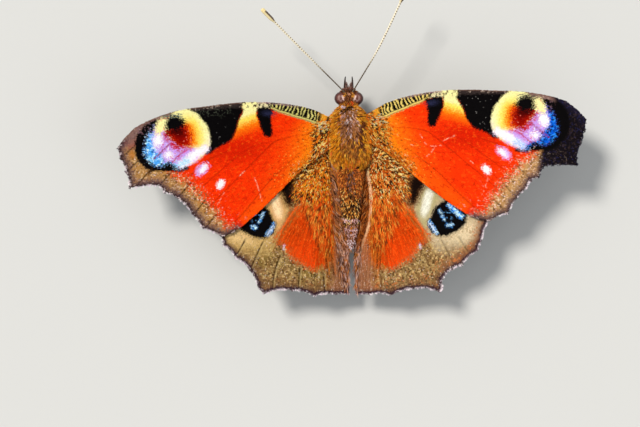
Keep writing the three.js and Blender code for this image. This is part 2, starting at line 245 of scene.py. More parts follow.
HINDWINGS = {
    1: {
        "costa": HINDWING_COSTA,
        "vein_ends": [(17.1, 11.0), (15.85, 14.2), (14.2, 15.95), (12.2, 17.8), (11.05, 20.4), (10.3, 21.15),
                      (6.4, 20.7), (3.2, 21.6), (0, 21.45), (-1.7, 21.6)],
        "inner": HINDWING_INNER,
        "centre": HINDWING_CENTRE,
        "hollow": HINDWING_HOLLOW,
    },
    -1: {
        "costa": HINDWING_COSTA,
        "vein_ends": [(17.1, 11.0), (16.0, 14.0), (15.4, 15.45), (13.2, 17.4), (11.85, 17.95), (10.4, 19.35),
                      (10.4, 20.65), (10.05, 21.2), (6.4, 20.7), (3.2, 21.6), (0, 21.45), (-1.7, 21.6)],
        "inner": HINDWING_INNER,
        "centre": HINDWING_CENTRE,
        "hollow": HINDWING_HOLLOW,
    },
}


# Streaks, scales and pleats fan out from these places
STREAK_ROOTS = {"forewing": (-3.0, 1.0), "hindwing": (0.9, 2.5)}
SCALE_ROOTS = {"forewing": (-2.5, 1.0), "hindwing": (0.5, -3.0)}
PLEAT_ROOT = (-2.5, 1.0)


def hollow_margin(wing):
    centre = np.array(wing["centre"], float)
    line = []
    ends = np.array(wing["vein_ends"], float)
    for start, end in zip(ends[:-1], ends[1:]):
        deep = wing["hollow"] * np.hypot(*(end - start))
        for share in (0, 0.25, 0.5, 0.75):
            point = start + share * (end - start)
            pull = (centre - point) / np.hypot(*(centre - point))
            line.append(point + pull * deep * np.sin(np.pi * share))
    return np.array(line)


def wing_outline(wing):
    return np.vstack([spline(wing["costa"], 16)[:-1], hollow_margin(wing), spline(wing["inner"], 10)])


# Colours
RED = tone(246, 54, 4)
DEEP_RED = tone(205, 22, 2)
ORANGE = tone(252, 112, 10)
AMBER = tone(252, 150, 20)
YELLOW = tone(252, 226, 96)
CREAM = tone(252, 243, 172)
WHITE = tone(250, 248, 252)
LILAC = tone(204, 160, 236)
PINK = tone(238, 178, 226)
MAROON = tone(140, 6, 2)
BLACK = tone(9, 7, 8)
BLUE_SHEEN = tone(40, 42, 70)
MAUVE = tone(128, 92, 88)
PLUM = tone(70, 50, 62)
UMBER = tone(50, 28, 12)
FRINGE = tone(206, 186, 184)


# Forewing: the eyespot's shift and its blues on each side, the veins and the scratches
EYESPOT_SHIFT = {1: (0.02, -0.13), -1: (0.25, 0.0)}
EYE_BLUES = {
    1: [tone(76, 168, 244), tone(140, 214, 254), tone(216, 244, 255), tone(16, 70, 150)],
    -1: [tone(8, 92, 214), tone(48, 150, 248), tone(8, 58, 160), tone(3, 8, 30)],
}
FORE_VEINS = [
    [(1.2, 1.6), (4.5, 1.85), (6, 2.1), (7.5, 2.5), (8.2, 2.95), (9.5, 4.1), (11, 5.5), (12.5, 6.9),
     (15, 9.2), (18, 12.0)],
    [(1.5, 3.0), (4, 4.0), (6, 5.8), (9, 8.4), (12, 11.8), (14.5, 14.2)],
    [(9.5, 2.6), (12.5, 4.0), (15, 6.0), (18, 8.4)],
    [(11.5, 2.4), (15, 3.9), (17.8, 5.2), (20, 7.2)],
]
FORE_MARGIN_VEINS = [
    [(27.4, 2.6), (28.9, 3.8)], [(26.6, 4.3), (28.3, 5.8)], [(24.9, 5.6), (27.2, 7.9)],
    [(22.2, 6.2), (24.1, 8.1)], [(19.7, 7.9), (21.7, 10.0)], [(17.7, 10.3), (19.5, 12.3)],
    [(16.3, 12.4), (17.9, 14.2)],
]
FORE_SCRATCHES = {
    1: [[(10.75, 7.6), (10.3, 9.0), (9.9, 10.8)], [(12.1, 6.5), (12.8, 7.2)],
        [(15.1, 9.4), (15.7, 10.4), (16.1, 11.1)]],
    -1: [[(6.6, 2.8), (7.0, 3.6), (7.5, 4.4), (8.4, 4.65), (9.5, 4.6)], [(13.1, 6.6), (14.0, 7.6)],
         [(9.7, 4.1), (10.4, 3.7), (11.3, 3.4)], [(8.5, 4.9), (7.9, 5.7), (7.4, 6.05)],
         [(15.7, 9.5), (15.3, 10.7), (14.8, 11.7)], [(5.3, 4.3), (5.8, 4.45)], [(3.0, 2.7), (3.5, 2.85)]],
}


def forewing_eyespot(paint):
    """Dark outline, pale ring, blue and lilac field, maroon middle and black pupil."""
    u, v, grain = paint.places()
    outer_ring = [(23.9, -1.15), (25.2, -0.85), (26.2, -0.05), (27.0, 1.1), (27.25, 2.4), (27.05, 3.9),
                  (26.2, 5.25), (25.2, 5.8), (23.8, 5.95), (22.4, 6.05), (20.8, 6.1), (19.8, 5.7),
                  (21, 4.6), (23, 3), (24, 0)]
    paint.patch(outer_ring, BLACK, 0.16, 0.16)
    upper_rim = ramp(1.3 - np.hypot((u - 25.6) * 0.7, v - 0.1), 0, 0.6)
    paint.lay_specks(0.8 * upper_rim, 0.17, 28, 0.3, tone(128, 96, 104))
    pale = [(19.4, -2.4), (18.35, -1.75), (17.85, -1.05), (17.3, -0.45), (16.95, 0.3), (16.8, 1.05),
            (16.7, 1.65), (16.75, 2.4), (17.0, 3.1), (17.5, 3.8), (18.1, 4.35), (19, 4.95), (19.8, 5.3),
            (20.4, 5.4), (21.4, 5.0), (22.5, 3.0), (23.2, 0.6), (22.9, -0.5), (22.7, -1.2), (22.0, -1.95),
            (21.0, -2.5), (20.2, -2.7)]
    pale_depth = paint.patch(pale, CREAM, 0.14, 0.16)
    field = [(24.3, -0.4), (24.75, 0.15), (25.3, 0.7), (25.65, 1.5), (25.9, 2.4), (26.05, 3.1),
             (25.85, 3.9), (25.35, 4.65), (24.7, 5.1), (24.0, 5.3), (23.3, 5.15), (22.6, 4.85),
             (22.1, 5.15), (21.7, 5.4), (21.1, 5.5), (20.4, 5.35), (19.5, 5.1), (18.6, 4.6), (18.0, 3.7),
             (18.4, 3.0), (19.6, 2.6), (20.5, 2.2), (22, 1.4), (23, 0.2), (24, -0.2)]
    lilac_depth = paint.patch(field, LILAC, 0.16, 0.3)
    in_field = paint.edge(lilac_depth, 0.16, 0.3)
    paint.lay_specks(0.9 * in_field, 0.15, 29, 0.3, tone(216, 84, 168))
    paint.lay_specks(0.9 * in_field, 0.16, 30, 0.2, WHITE)
    inner_blue = spline([(24.5, -0.8), (24.4, 0.2), (24.65, 1.4), (24.4, 2.6), (23.9, 3.5), (23.4, 4.3),
                         (22.8, 5.0), (21.9, 4.95), (20.6, 5.3), (20.2, 5.9)], 30)
    blue_zone = np.vstack([inner_blue, [(20.4, 7), (24, 8), (28, 6), (28, 0), (26, -1.5)]])
    blue_depth = depth_inside(u, v, blue_zone) + 0.25 * clouds(u, v, 0.45, 31) + paint.by_side(0.0, 0.15)
    blue_cover = in_field * paint.edge(blue_depth, 0.5, 0.5)
    blues = EYE_BLUES[paint.side]
    paint.lay(blue_cover, blues[0])
    paint.lay_specks(blue_cover, 0.18, 33, 0.42, blues[1])
    paint.lay_specks(blue_cover, 0.17, 34, 0.3, blues[2])
    paint.lay_specks(blue_cover, 0.16, 36, paint.by_side(0.2, 0.34), blues[3])
    ragged_rim = ramp(0.5 - lilac_depth + 0.3 * grain, 0, 0.4) * ramp(u + 0.4 * v, 23, 25)
    paint.lay_specks(in_field * ragged_rim, 0.18, 35, 0.4, BLACK)
    paint.oval((23.95, 1.7), 0.95, 0.68, 1.3, WHITE, 0.35, 0.35)
    paint.oval((22.65, 3.8), 0.62, 0.45, 0.2, WHITE, 0.3, 0.35)
    streak = [(17.6, 3.0), (18.9, 3.8), (20.0, 4.6), (20.9, 5.1)]
    paint.line(streak, 1.3, tone(240, 200, 240), 1.0, 0.25, 0.3)
    paint.line(streak, 1.05, WHITE, 1.0, 0.25, 0.2)
    paint.line([(20.2, 4.7), (21.4, 5.25)], 0.6, blues[1], 0.7, 0.6, 0.4)
    paint.line([(19.6, 2.95), (20.5, 3.3), (21.3, 4.0), (22.1, 4.75)], 0.15, tone(190, 40, 80), 0.9, 0.1)
    paint.line([(22.1, 2.0), (22.9, 2.7), (23.8, 3.5), (24.6, 4.2)], 0.15, tone(150, 20, 60), 0.9, 0.1)
    middle = [(20.0, -0.35), (19.7, 0.3), (19.45, 1.1), (19.45, 2.0), (19.65, 2.55), (20.4, 2.85),
              (21.3, 2.95), (21.9, 2.4), (22.3, 1.75), (23.05, 1.05), (23.1, 0.5), (22.6, -0.1),
              (22.2, -0.8), (21, -1.2)]
    middle_depth = depth_inside(u, v, ring(middle), 3)
    crescent = (paint.edge(pale_depth, 0.14, 0.1) * paint.edge(20.6 - u, 0.6, 0.2)
                * ramp(3.1 - v + 0.3 * grain, 0, 0.7))
    paint.lay(crescent * ramp(middle_depth + 0.3 * grain, -2.1, -1.2) * ramp(v, -2.4, -0.4), YELLOW)
    paint.lay(crescent * ramp(0.7 - pale_depth + 0.2 * grain, 0, 0.6) * ramp(v, 0.3, 2.4),
              tone(254, 240, 208))
    paint.lay(crescent * ramp(middle_depth + 0.35 * grain, -1.25, -0.5) * ramp(v, -1.1, -0.1), AMBER)
    paint.lay(crescent * ramp(middle_depth + 0.35 * grain, -0.55, 0.0) * ramp(v, -0.9, 0), tone(236, 80, 8))
    below = ramp(middle_depth, -0.6, -0.1) * ramp(v - 0.5 * (21.3 - u), 1.0, 2.0)
    paint.lay_specks(below, 0.15, 38, 0.4, tone(206, 40, 96))
    paint.lay(paint.edge(middle_depth, 0.3, 0.5), tone(200, 30, 3))
    paint.lay(paint.edge(middle_depth - 0.5, 0.9, 0.5), MAROON)
    paint.lay(paint.edge(middle_depth - 0.6, 0.8, 0.5) * ramp(1.7 - v, 0, 1.0), tone(78, 4, 2))
    paint.lay_specks(paint.edge(middle_depth - 0.1, 0.3, 0.4), 0.14, 39, 0.06, tone(236, 110, 90))
    patch = [(22.3, -1.3), (22.9, -1.5), (23.55, -1.25), (24.05, -0.65), (24.3, 0.1), (24.2, 0.75),
             (23.65, 0.8), (23.2, 0.5), (22.85, 0.0), (22.4, -0.55)]
    paint.patch(patch, CREAM, 0.24, 0.3)
    pupil = [(20.3, -1.0), (20.8, -1.5), (21.5, -1.75), (22.2, -1.6), (22.65, -1.2), (22.8, -0.6),
             (22.85, 0.0), (22.4, 0.4), (21.5, 0.45), (20.8, 0.15), (20.3, -0.15), (20.1, -0.6)]
    paint.patch(pupil, BLACK, 0.34, 0.34)
    feather = np.sin(2 * np.pi * (v + 0.25 * u) / 0.36) + 0.8 * grain
    crown = ramp(0.46 - np.abs(v + 1.6 - 0.12 * (u - 21.8)), 0, 0.3) * ramp(1.7 - np.abs(u - 21.9), 0, 0.6)
    paint.lay(crown * ramp(feather, 0.0, 0.6) * 0.9, paint.by_side(tone(60, 88, 90), tone(44, 36, 36)))
    return pale_depth, in_field


def forewing_red(paint):
    """Red field, orange towards the base and deeper below the black patch."""
    u, v, grain = paint.places()
    paint.colour[:] = RED
    paint.lay(ramp(3.4 - np.hypot((u - 13.2) / 2.2, (v - 3.4)), 0, 3) * 0.7, DEEP_RED)
    paint.lay(0.5 * ramp(clouds(u, v, 1.6, 3), 0.1, 0.9), tone(230, 36, 3))
    inner, _ = path_distance(u, v, spline([(4, 5.5), (8, 9.5), (12, 13)], 8))
    paint.lay(0.4 * ramp(1.6 - inner, 0, 1.4), ORANGE)
    paint.lay(0.7 * ramp(8.4 - u + 0.4 * v + 0.4 * grain, 0, 5.0) * ramp(v, -0.5, 3.0), tone(252, 84, 6))
    paint.lay(0.9 * ramp(5.8 - u + 0.25 * v + 0.4 * grain, 0, 3.4) * ramp(v, -1.5, 1.0), tone(252, 124, 12))
    paint.lay(0.5 * ramp(3.6 - u + 0.2 * v + 0.4 * grain, 0, 1.6) * ramp(v, -1.0, 0.6), AMBER)
    paint.lay_flecks(0.6, 0.17, 0.4, 6, 0.3, tone(206, 30, 2))
    paint.lay_flecks(0.5, 0.17, 0.35, 8, 0.24, tone(252, 96, 18))
    for vein in FORE_VEINS:
        paint.line(vein, 0.15, DEEP_RED * 0.5, 0.45, fade=7.0)


def forewing_base(paint):
    """Gold and brown flecks on orange."""
    u, v, grain = paint.places()
    root = [(-1, -1.4), (0.2, 0.2), (0.8, 2.0), (0.6, 4.0), (1.6, 5.4), (4.6, 7.6)]
    base, _ = path_distance(u, v, spline(root, 18))
    near_base = ramp(2.0 - base - 0.05 * v + 0.6 * grain, 0, 1.2)
    paint.lay(near_base, tone(190, 96, 24))
    paint.lay_flecks(near_base, 0.15, 0.4, 11, 0.34, tone(240, 180, 74))
    paint.lay_flecks(near_base, 0.15, 0.4, 12, 0.3, tone(64, 32, 12))
    paint.lay_flecks(near_base, 0.15, 0.3, 13, 0.12, tone(232, 216, 160))
    far_base = ramp(4.2 - base + 0.8 * grain, 0, 1.2)
    paint.lay_flecks(0.8 * far_base, 0.14, 0.3, 14, 0.14, tone(120, 44, 10))
    paint.lay_flecks(0.8 * far_base, 0.14, 0.3, 15, 0.1, tone(250, 176, 60))


def forewing_margin(paint):
    """Tan outer margin beyond the red. Returns how far beyond the red field each place lies."""
    u, v, grain = paint.places()
    tan_edge = spline([(22.4, 6.2), (21.2, 7.0), (20.2, 7.6), (19.6, 8.6), (18.4, 9.2), (17.8, 10.2),
                       (17.0, 11.2), (16.2, 12.2), (15.7, 13.2), (15.2, 14.3), (14.0, 14.3),
                       (12.6, 14.8)], 40)
    outer = np.vstack([tan_edge, [(15, 18), (24, 14), (31, 10), (31, -2), (28, -3), (23, -2.6), (22.5, 3)]])
    beyond = depth_inside(u, v, outer, 2) + 0.28 * clouds(u, v, 0.7, 5)
    tan_cover = paint.edge(beyond, 0.6, 0.8)
    warm_tan = paint.by_side(tone(184, 136, 76), tone(194, 148, 92))
    paint.lay(tan_cover, warm_tan)
    paint.lay(tan_cover * ramp(clouds(u, v, 0.8, 7), -0.2, 0.7) * 0.4, tone(156, 104, 74))
    paint.lay_specks(0.8 * tan_cover * ramp(1.6 - beyond, 0, 1.2), 0.17, 19, 0.24, tone(220, 104, 34))
    paint.lay_specks(0.9 * tan_cover, 0.16, 16, 0.32, tone(96, 60, 32))
    paint.lay_specks(0.9 * tan_cover, 0.16, 17, 0.2, tone(234, 202, 152))
    paint.lay_specks(0.9 * tan_cover, 0.14, 9, paint.by_side(0.08, 0.14), tone(240, 222, 216))
    paint.lay(tan_cover * ramp(1.5 - paint.rim + 0.3 * grain, 0, 0.9) * 0.55, MAUVE)
    apex = tan_cover * ramp(3.4 - v + 0.3 * grain, 0, 1.2)
    paint.lay(apex, tone(146, 104, 92))
    paint.lay(apex * ramp(clouds(u, v, 0.9, 18), 0.0, 0.6) * 0.6, tone(164, 76, 58))
    paint.lay(tan_cover * ramp(0.8 - np.hypot((u - 27.6) / 0.7, v - 3.6) + 0.2 * grain, 0, 0.6) * 0.8,
              tone(196, 124, 48))
    return beyond


def costal_strip(paint):
    """Dark front edge, barred with straw at its base and edged with a pale vein."""
    u, v, grain = paint.places()
    costal = spline([(0.4, 0.55), (2, 0.3), (3, -0.1), (4, -0.42), (5, -0.75), (6, -1.15), (7, -1.45),
                     (8, -1.88), (10, -2.0), (13, -1.95), (16, -1.85), (18.5, -1.75), (22, -1.35),
                     (24.5, -0.75), (26.3, 0.3), (27.3, 1.5)], 56)
    strip = depth_inside(u, v, np.vstack([costal, [(31, 2), (28, -3), (20, -6), (4, -6), (-1, -3)]]), 2)
    strip_cover = paint.edge(strip, 0.12, 0.12)
    paint.lay(strip_cover, tone(52, 42, 40))
    paint.lay(strip_cover * ramp(u + 0.4 * grain, 19.5, 22.5), tone(138, 104, 96))
    paint.lay(strip_cover * ramp(0.3 - paint.rim, 0, 0.2) * 0.8, tone(124, 88, 74))
    paint.lay_specks(0.7 * strip_cover * ramp(u, 11, 13), 0.17, 21, 0.2, tone(190, 168, 150))
    paint.lay_specks(0.7 * strip_cover * ramp(u, 18, 20), 0.17, 22, 0.2, tone(84, 58, 52))
    pale_strip = strip_cover * ramp(10.4 - u, 0, 0.6) * ramp(u, 7.9, 8.2)
    paint.lay(pale_strip, tone(226, 214, 166))
    paint.lay_specks(pale_strip, 0.18, 20, 0.4, tone(30, 24, 26))
    paint.lay(pale_strip * ramp(0.35 - paint.rim, 0, 0.2) * 0.5, tone(196, 150, 160))
    straw = strip_cover * ramp(8.2 - u, 0, 0.25)
    paint.lay(straw, paint.by_side(tone(222, 212, 124), tone(242, 214, 116)))
    paint.lay(straw * ramp(1.9 - u + 0.4 * grain, 0, 0.9), tone(236, 164, 48))
    paint.lay(straw * np.exp(-((strip - 0.06) / 0.08) ** 2) * 0.8, tone(120, 104, 70))
    paint.lay(straw * np.exp(-((strip - 0.36) / 0.06) ** 2) * ramp(u, 0.8, 2.0) * 0.85, tone(60, 44, 20))
    lean = u - 0.34 * (v + 2.0) + 0.2 * clouds(u, v, 0.7, 23)
    bars = np.sin(2 * np.pi * lean / 0.54) + 0.5 * clouds(u, v, 0.3, 24) + paint.by_side(0.6, 0.45)
    barred = straw * ramp(strip, 0.3, 0.42)
    paint.lay(barred * ramp(bars + 0.3 * grain, 0.0, 0.35) * ramp(u, 0.6, 1.4), BLACK)
    paint.lay(barred * ramp(0.45 - paint.rim, 0, 0.25) * ramp(u, 3.0, 6.0) * 0.75, tone(170, 140, 136))
    paint.lay_specks(barred * ramp(0.45 - paint.rim, 0, 0.2) * ramp(u, 3, 5), 0.16, 26, 0.3, tone(50, 34, 32))


def pale_wedge(paint):
    """Cream, yellow and orange wedge between the two black patches."""
    u, v, grain = paint.places()
    wedge = [(10.05, -2.6), (10.1, -1.6), (10.0, -0.9), (9.75, -0.2), (9.4, 0.6), (9.2, 1.6), (11, 2.4),
             (13.6, 2.2), (13.1, 0.9), (12.8, 0.1), (12.6, -0.6), (12.25, -1.15), (11.95, -1.8),
             (11.9, -2.6)]
    warm = depth_inside(u, v, ring(wedge))
    wedge_cover = paint.edge(warm, 0.2, 0.1)
    down = v + 0.2 + 0.35 * (11.4 - u)
    paint.lay(wedge_cover * ramp(2.0 - down + 0.3 * grain, 0, 1.0), tone(248, 96, 8))
    paint.lay(wedge_cover * ramp(1.05 - down + 0.4 * grain, 0, 0.9), AMBER)
    paint.lay(wedge_cover * ramp(0.35 - down + 0.4 * grain, 0, 0.8), YELLOW)
    paint.lay(wedge_cover * ramp(-0.6 - down + 0.2 * grain, 0, 0.6), CREAM)
    tip = paint.edge(np.minimum(u - 9.9, 12.0 - u), 0.2, 0.1) * ramp(-1.6 - v, 0, 0.3)
    paint.lay(tip, CREAM)
    paint.lay_specks(tip * ramp(-2.1 - v, 0, 0.2), 0.2, 25, 0.3, tone(96, 76, 48))


def black_patches(paint):
    """A small and a large patch at the front edge, dusted with pale scales."""
    u, v, grain = paint.places()
    near, blunt = paint.by_side((0.0, 0.24), (-0.22, 0.0))
    small = [(7.8 + near, -1.9), (7.95 + near, -1.0), (8.02 + near, -0.3), (8.0 + near, 0.6),
             (8.0 + near, 1.35), (8.15 + near, 1.85), (8.6, 1.95), (8.9 + blunt, 1.65), (9.2 + blunt, 0.95),
             (9.55 + 0.5 * blunt, 0.35), (9.78, -0.3), (10.02, -0.9), (10.05, -1.8), (9.9, -2.2), (9, -2.2),
             (8.3, -2.1)]
    paint.patch(small, BLACK)
    # Painted sheen: a bluish gloss near the top of the small black patch.
    paint.oval((8.4, -1.35), 0.7, 0.3, -0.1, BLUE_SHEEN, 0.5)
    large = [(12.0, -2.2), (12.25, -1.15), (12.6, -0.6), (12.8, 0.1), (13.05, 0.9), (13.5, 1.75), (14.1, 2.4),
             (15.1, 2.85), (16, 3.35), (16.8, 3.9), (17.7, 3.9), (18.5, 2.5), (19, 0), (19.5, -1.6),
             (18.4, -2.1), (15, -2.25)]
    paint.patch(large, BLACK)
    star = paint.specks(0.15, 27, 0.0) * ramp(depth_inside(u, v, ring(large)), 0, 0.3)
    paint.lay(star * paint.by_side(0.3 * ramp(v - 0.5 * (u - 15), -1.0, 1.5), 0.45), tone(190, 186, 180))
    if paint.side > 0:
        haze = ramp(-0.9 - v + 0.3 * grain, 0, 0.9) * ramp(u, 12.6, 14.5)
        paint.lay_specks(0.3 * haze, 0.14, 95, 0.3, tone(104, 110, 92))


def pale_spots(paint):
    """Two pale spots in the red."""
    paint.oval((18.05, 6.1), 1.12, 0.64, 0.72, PINK, 0.16, 0.24)
    paint.oval((18.0, 6.1), 0.95, 0.5, 0.72, LILAC, 0.2, 0.3)
    paint.oval((17.85, 6.0), 0.74, 0.36, 0.8, WHITE, 0.2, 0.2)
    paint.oval((15.55, 8.25), 0.72, 0.48, 0.95, WHITE, 0.15, 0.18)


def forewing_edge(paint, beyond, pale_depth, in_field):
    """Veins in the margin, dark edge, pale fringe, painted shade over the tip of the right wing, and
    scratches.
    """
    u, v, grain = paint.places()
    for vein in FORE_MARGIN_VEINS:
        paint.line(vein, 0.15, UMBER, paint.by_side(0.9, 0.5))
    outside = ramp(u + v, 21, 24) * (1 - ramp(-1.2 - v + 0.3 * (u - 20), -0.6, 0)) * ramp(u, 12.5, 14)
    paint.lay(outside * ramp(1.0 - paint.rim + 0.3 * grain, 0, 0.5) * 0.7, PLUM)
    paint.lay(outside * ramp(0.5 - paint.rim + 0.1 * grain, 0, 0.25) * 0.75, tone(42, 28, 32))
    # Painted shade over the tip of the right wing: black, with a bluish cast near the margin and dull brown
    # and blue specks.
    if paint.side < 0:
        painted_shade = ramp(u + 0.3 * v, 24.3, 25.6) * (1 - in_field) * (1 - paint.edge(pale_depth, 0.2, 0.1))
        painted_shade = painted_shade * ramp(u - 0.25 * grain, 22.5, 23.7)
        beside = ramp(np.hypot(u - 23.4, v - 2.2), 3.7, 4.1)
        paint.lay(painted_shade, BLACK)
        paint.lay(painted_shade * beside, tone(20, 15, 20))
        paint.lay(painted_shade * beside * ramp(1.5 - paint.rim, 0, 1.2) * ramp(4.0 - v, 0, 3) * 0.5,
                  tone(34, 30, 56))
        paint.lay_specks(0.35 * painted_shade * beside, 0.14, 45, 0.3, tone(80, 62, 56))
        paint.lay_specks(0.45 * painted_shade * beside, 0.14, 46, 0.2, tone(44, 44, 90))
    # The pale edge dots and the scattered pale scales thin out towards the right wing's tip, as part of the
    # painted shade there.
    edge_dots = paint.specks(0.2, 41, 0.4) * ramp(0.3 - paint.rim + 0.1 * grain, 0, 0.12)
    paint.lay(outside * edge_dots * paint.by_side(1.0, 1 - 0.9 * ramp(u, 22, 23.5)), FRINGE)
    broken = ramp(clouds(u, v, 0.24, 42), -0.35, 0.05)
    for scratch in FORE_SCRATCHES[paint.side]:
        paint.line(scratch, 0.05, tone(255, 204, 164), 0.95 * broken, ragged=0.06)
    scatter = (paint.specks(0.16, 43, 0.05) * ramp(v + 0.5 * u, 8, 16) * ramp(beyond, -3, 0)
               * ramp(v, 4.5, 6.0))
    paint.lay((1 - in_field) * scatter * paint.by_side(0.5, 0.8 - 0.7 * ramp(u, 22, 24)), tone(250, 220, 196))


def forewing_colours(u, v, grain, side):
    """Upper side of a forewing."""
    u = u + 0.08 * side * ramp(u, 4, 20)
    paint = Markings(u, v, grain, side, wing_outline(FOREWINGS[side]), STREAK_ROOTS["forewing"])
    forewing_red(paint)
    forewing_base(paint)
    beyond = forewing_margin(paint)
    costal_strip(paint)
    pale_wedge(paint)
    black_patches(paint)
    paint.u, paint.v = u + EYESPOT_SHIFT[side][0], v + EYESPOT_SHIFT[side][1]
    pale_depth, in_field = forewing_eyespot(paint)
    paint.u, paint.v = u, v
    pale_spots(paint)
    forewing_edge(paint, beyond, pale_depth, in_field)
    return np.clip(paint.colour, 0, 1)


# Hindwing: dark furrows, blue streaks of the eyespot with their widths, the gutter's fold and the veins
HIND_FURROWS = {
    1: [[(2.9, 6.5), (2.8, 9.5), (2.6, 12.5), (2.45, 15.0)],
        [(1.7, 7.0), (1.6, 11.0), (1.5, 15.0), (1.3, 18.5)],
        [(0.9, 12.0), (0.75, 15.0), (0.4, 18.5)]],
    -1: [[(2.3, 6.5), (2.25, 9.0), (2.05, 11.5), (1.95, 14.0), (1.75, 16.5), (1.7, 19.0)],
         [(1.55, 9.5), (1.4, 12.0), (1.45, 15.0), (1.3, 17.5)]],
}
SPOT_STREAKS = [
    ([(8.65, 11.3), (8.95, 11.8), (9.3, 12.35), (9.6, 12.8)], 0.44),
    ([(10.15, 9.65), (10.35, 10.2), (10.75, 10.95)], 0.18), ([(11.3, 11.75), (11.75, 11.7)], 0.44),
    ([(11.5, 8.9), (12.3, 9.7), (13.1, 10.6)], 0.62),
]
GUTTER_FOLD = {
    1: [(0.75, 2.0), (0.72, 5.0), (0.66, 8.0), (0.5, 11.0), (0.1, 14.0), (-0.5, 17.0), (-1.0, 21.5)],
    -1: [(-0.1, 2.5), (0.05, 3.6), (0.4, 5.2), (0.57, 6.7), (0.6, 8.8), (0.35, 11.2), (-0.24, 13.1),
         (-0.9, 15.1), (-1.4, 18.0), (-1.5, 21.5)],
}
HIND_VEINS = [
    [(7.5, 15.2), (8.1, 16.2), (8.6, 17.6), (8.95, 19.2), (9.05, 20.9)],
    [(10.0, 13.2), (11.1, 15.4), (12.1, 17.6)],
    [(12.5, 12.9), (13.3, 14.4), (14.2, 15.9)],
    [(5.1, 17.0), (5.3, 18.8), (5.5, 20.8)],
    [(1.9, 18.0), (1.8, 19.8), (1.7, 21.4)],
]


def hindwing_ground(paint, thin):
    """Tan to olive at the rear, brown near the margin, with faint rows across."""
    u, v, grain = paint.places()
    paint.colour[:] = tone(154, 116, 70)
    paint.lay(0.5 * ramp(clouds(u, v, 1.3, 52), -0.1, 0.8),
              paint.by_side(tone(156, 134, 64), tone(152, 124, 84)))
    blotch = clouds(u, v, 0.5, 69) + 0.5 * grain
    paint.lay(0.6 * ramp(blotch, 0.1, 0.6), paint.by_side(tone(116, 92, 42), tone(124, 92, 52)))
    paint.lay(0.5 * ramp(-blotch, 0.2, 0.8), tone(204, 176, 112))
    rows = np.sin(2 * np.pi * paint.reach / 0.34 + 2.5 * clouds(u, v, 0.9, 66)) + 0.5 * grain
    paint.lay(0.5 * ramp(rows, 0.1, 0.9), paint.by_side(tone(114, 92, 46), tone(120, 90, 48)))
    paint.lay(0.35 * ramp(thin, 0.1, 0.6), tone(120, 88, 50))
    paint.lay_specks(0.9, 0.15, 50, 0.34, tone(80, 54, 30))
    paint.lay_specks(0.9, 0.15, 49, 0.26, tone(222, 190, 126))
    paint.lay_specks(0.9, 0.14, 48, 0.12, tone(62, 42, 22))
    paint.lay(0.6 * ramp(2.2 - paint.rim + 0.6 * clouds(u, v, 0.8, 67), 0, 1.6), tone(126, 88, 60))
    paint.lay_specks(ramp(3.4 - paint.rim, 0, 1.8) * paint.by_side(0.3, 0.75), 0.14, 59, 0.2,
                     tone(206, 120, 66))
    paint.lay_specks(0.8 * ramp(1.6 - paint.rim, 0, 1.0), 0.13, 44, 0.34, tone(64, 40, 28))


def pale_ground(paint):
    """Pale ground round the eyespot, rusty along the right wing's margin."""
    u, v, grain = paint.places()
    pale = [(7.4, 6.2), (8.9, 5.6), (12, 6), (16.8, 10.6), (16.3, 12.6), (14.4, 14.4), (12, 16.2),
            (10.4, 16.4), (9.3, 15.2), (8.4, 13.2), (7.4, 11.2), (6.8, 9.8), (6.7, 8.9), (7.1, 7.9),
            (7.35, 7.1)]
    pale_depth = depth_inside(u, v, ring(pale))
    paint.lay(ramp(pale_depth + 0.2 * grain, -0.5, 0.5) * ramp(16.6 - v, 0, 3) * 0.8,
              paint.by_side(tone(216, 178, 108), tone(212, 192, 154)))
    light = paint.by_side(tone(230, 196, 136), tone(226, 206, 168))
    paint.oval((13.8, 12.7), 2.3, 1.0, -0.35, light, 1.2, 0.4)
    if paint.side < 0:
        rust = ramp(1.7 - paint.rim + 0.5 * grain, 0, 0.6) * ramp(u, 9.5, 12.0)
        paint.lay(rust * 0.7, tone(150, 98, 66))
        paint.lay_specks(0.9 * rust, 0.14, 96, 0.34, tone(206, 120, 62))
    paint.lay_specks(0.5 * ramp(pale_depth, -0.5, 0.5), 0.12, 47, 0.24, tone(150, 112, 64))


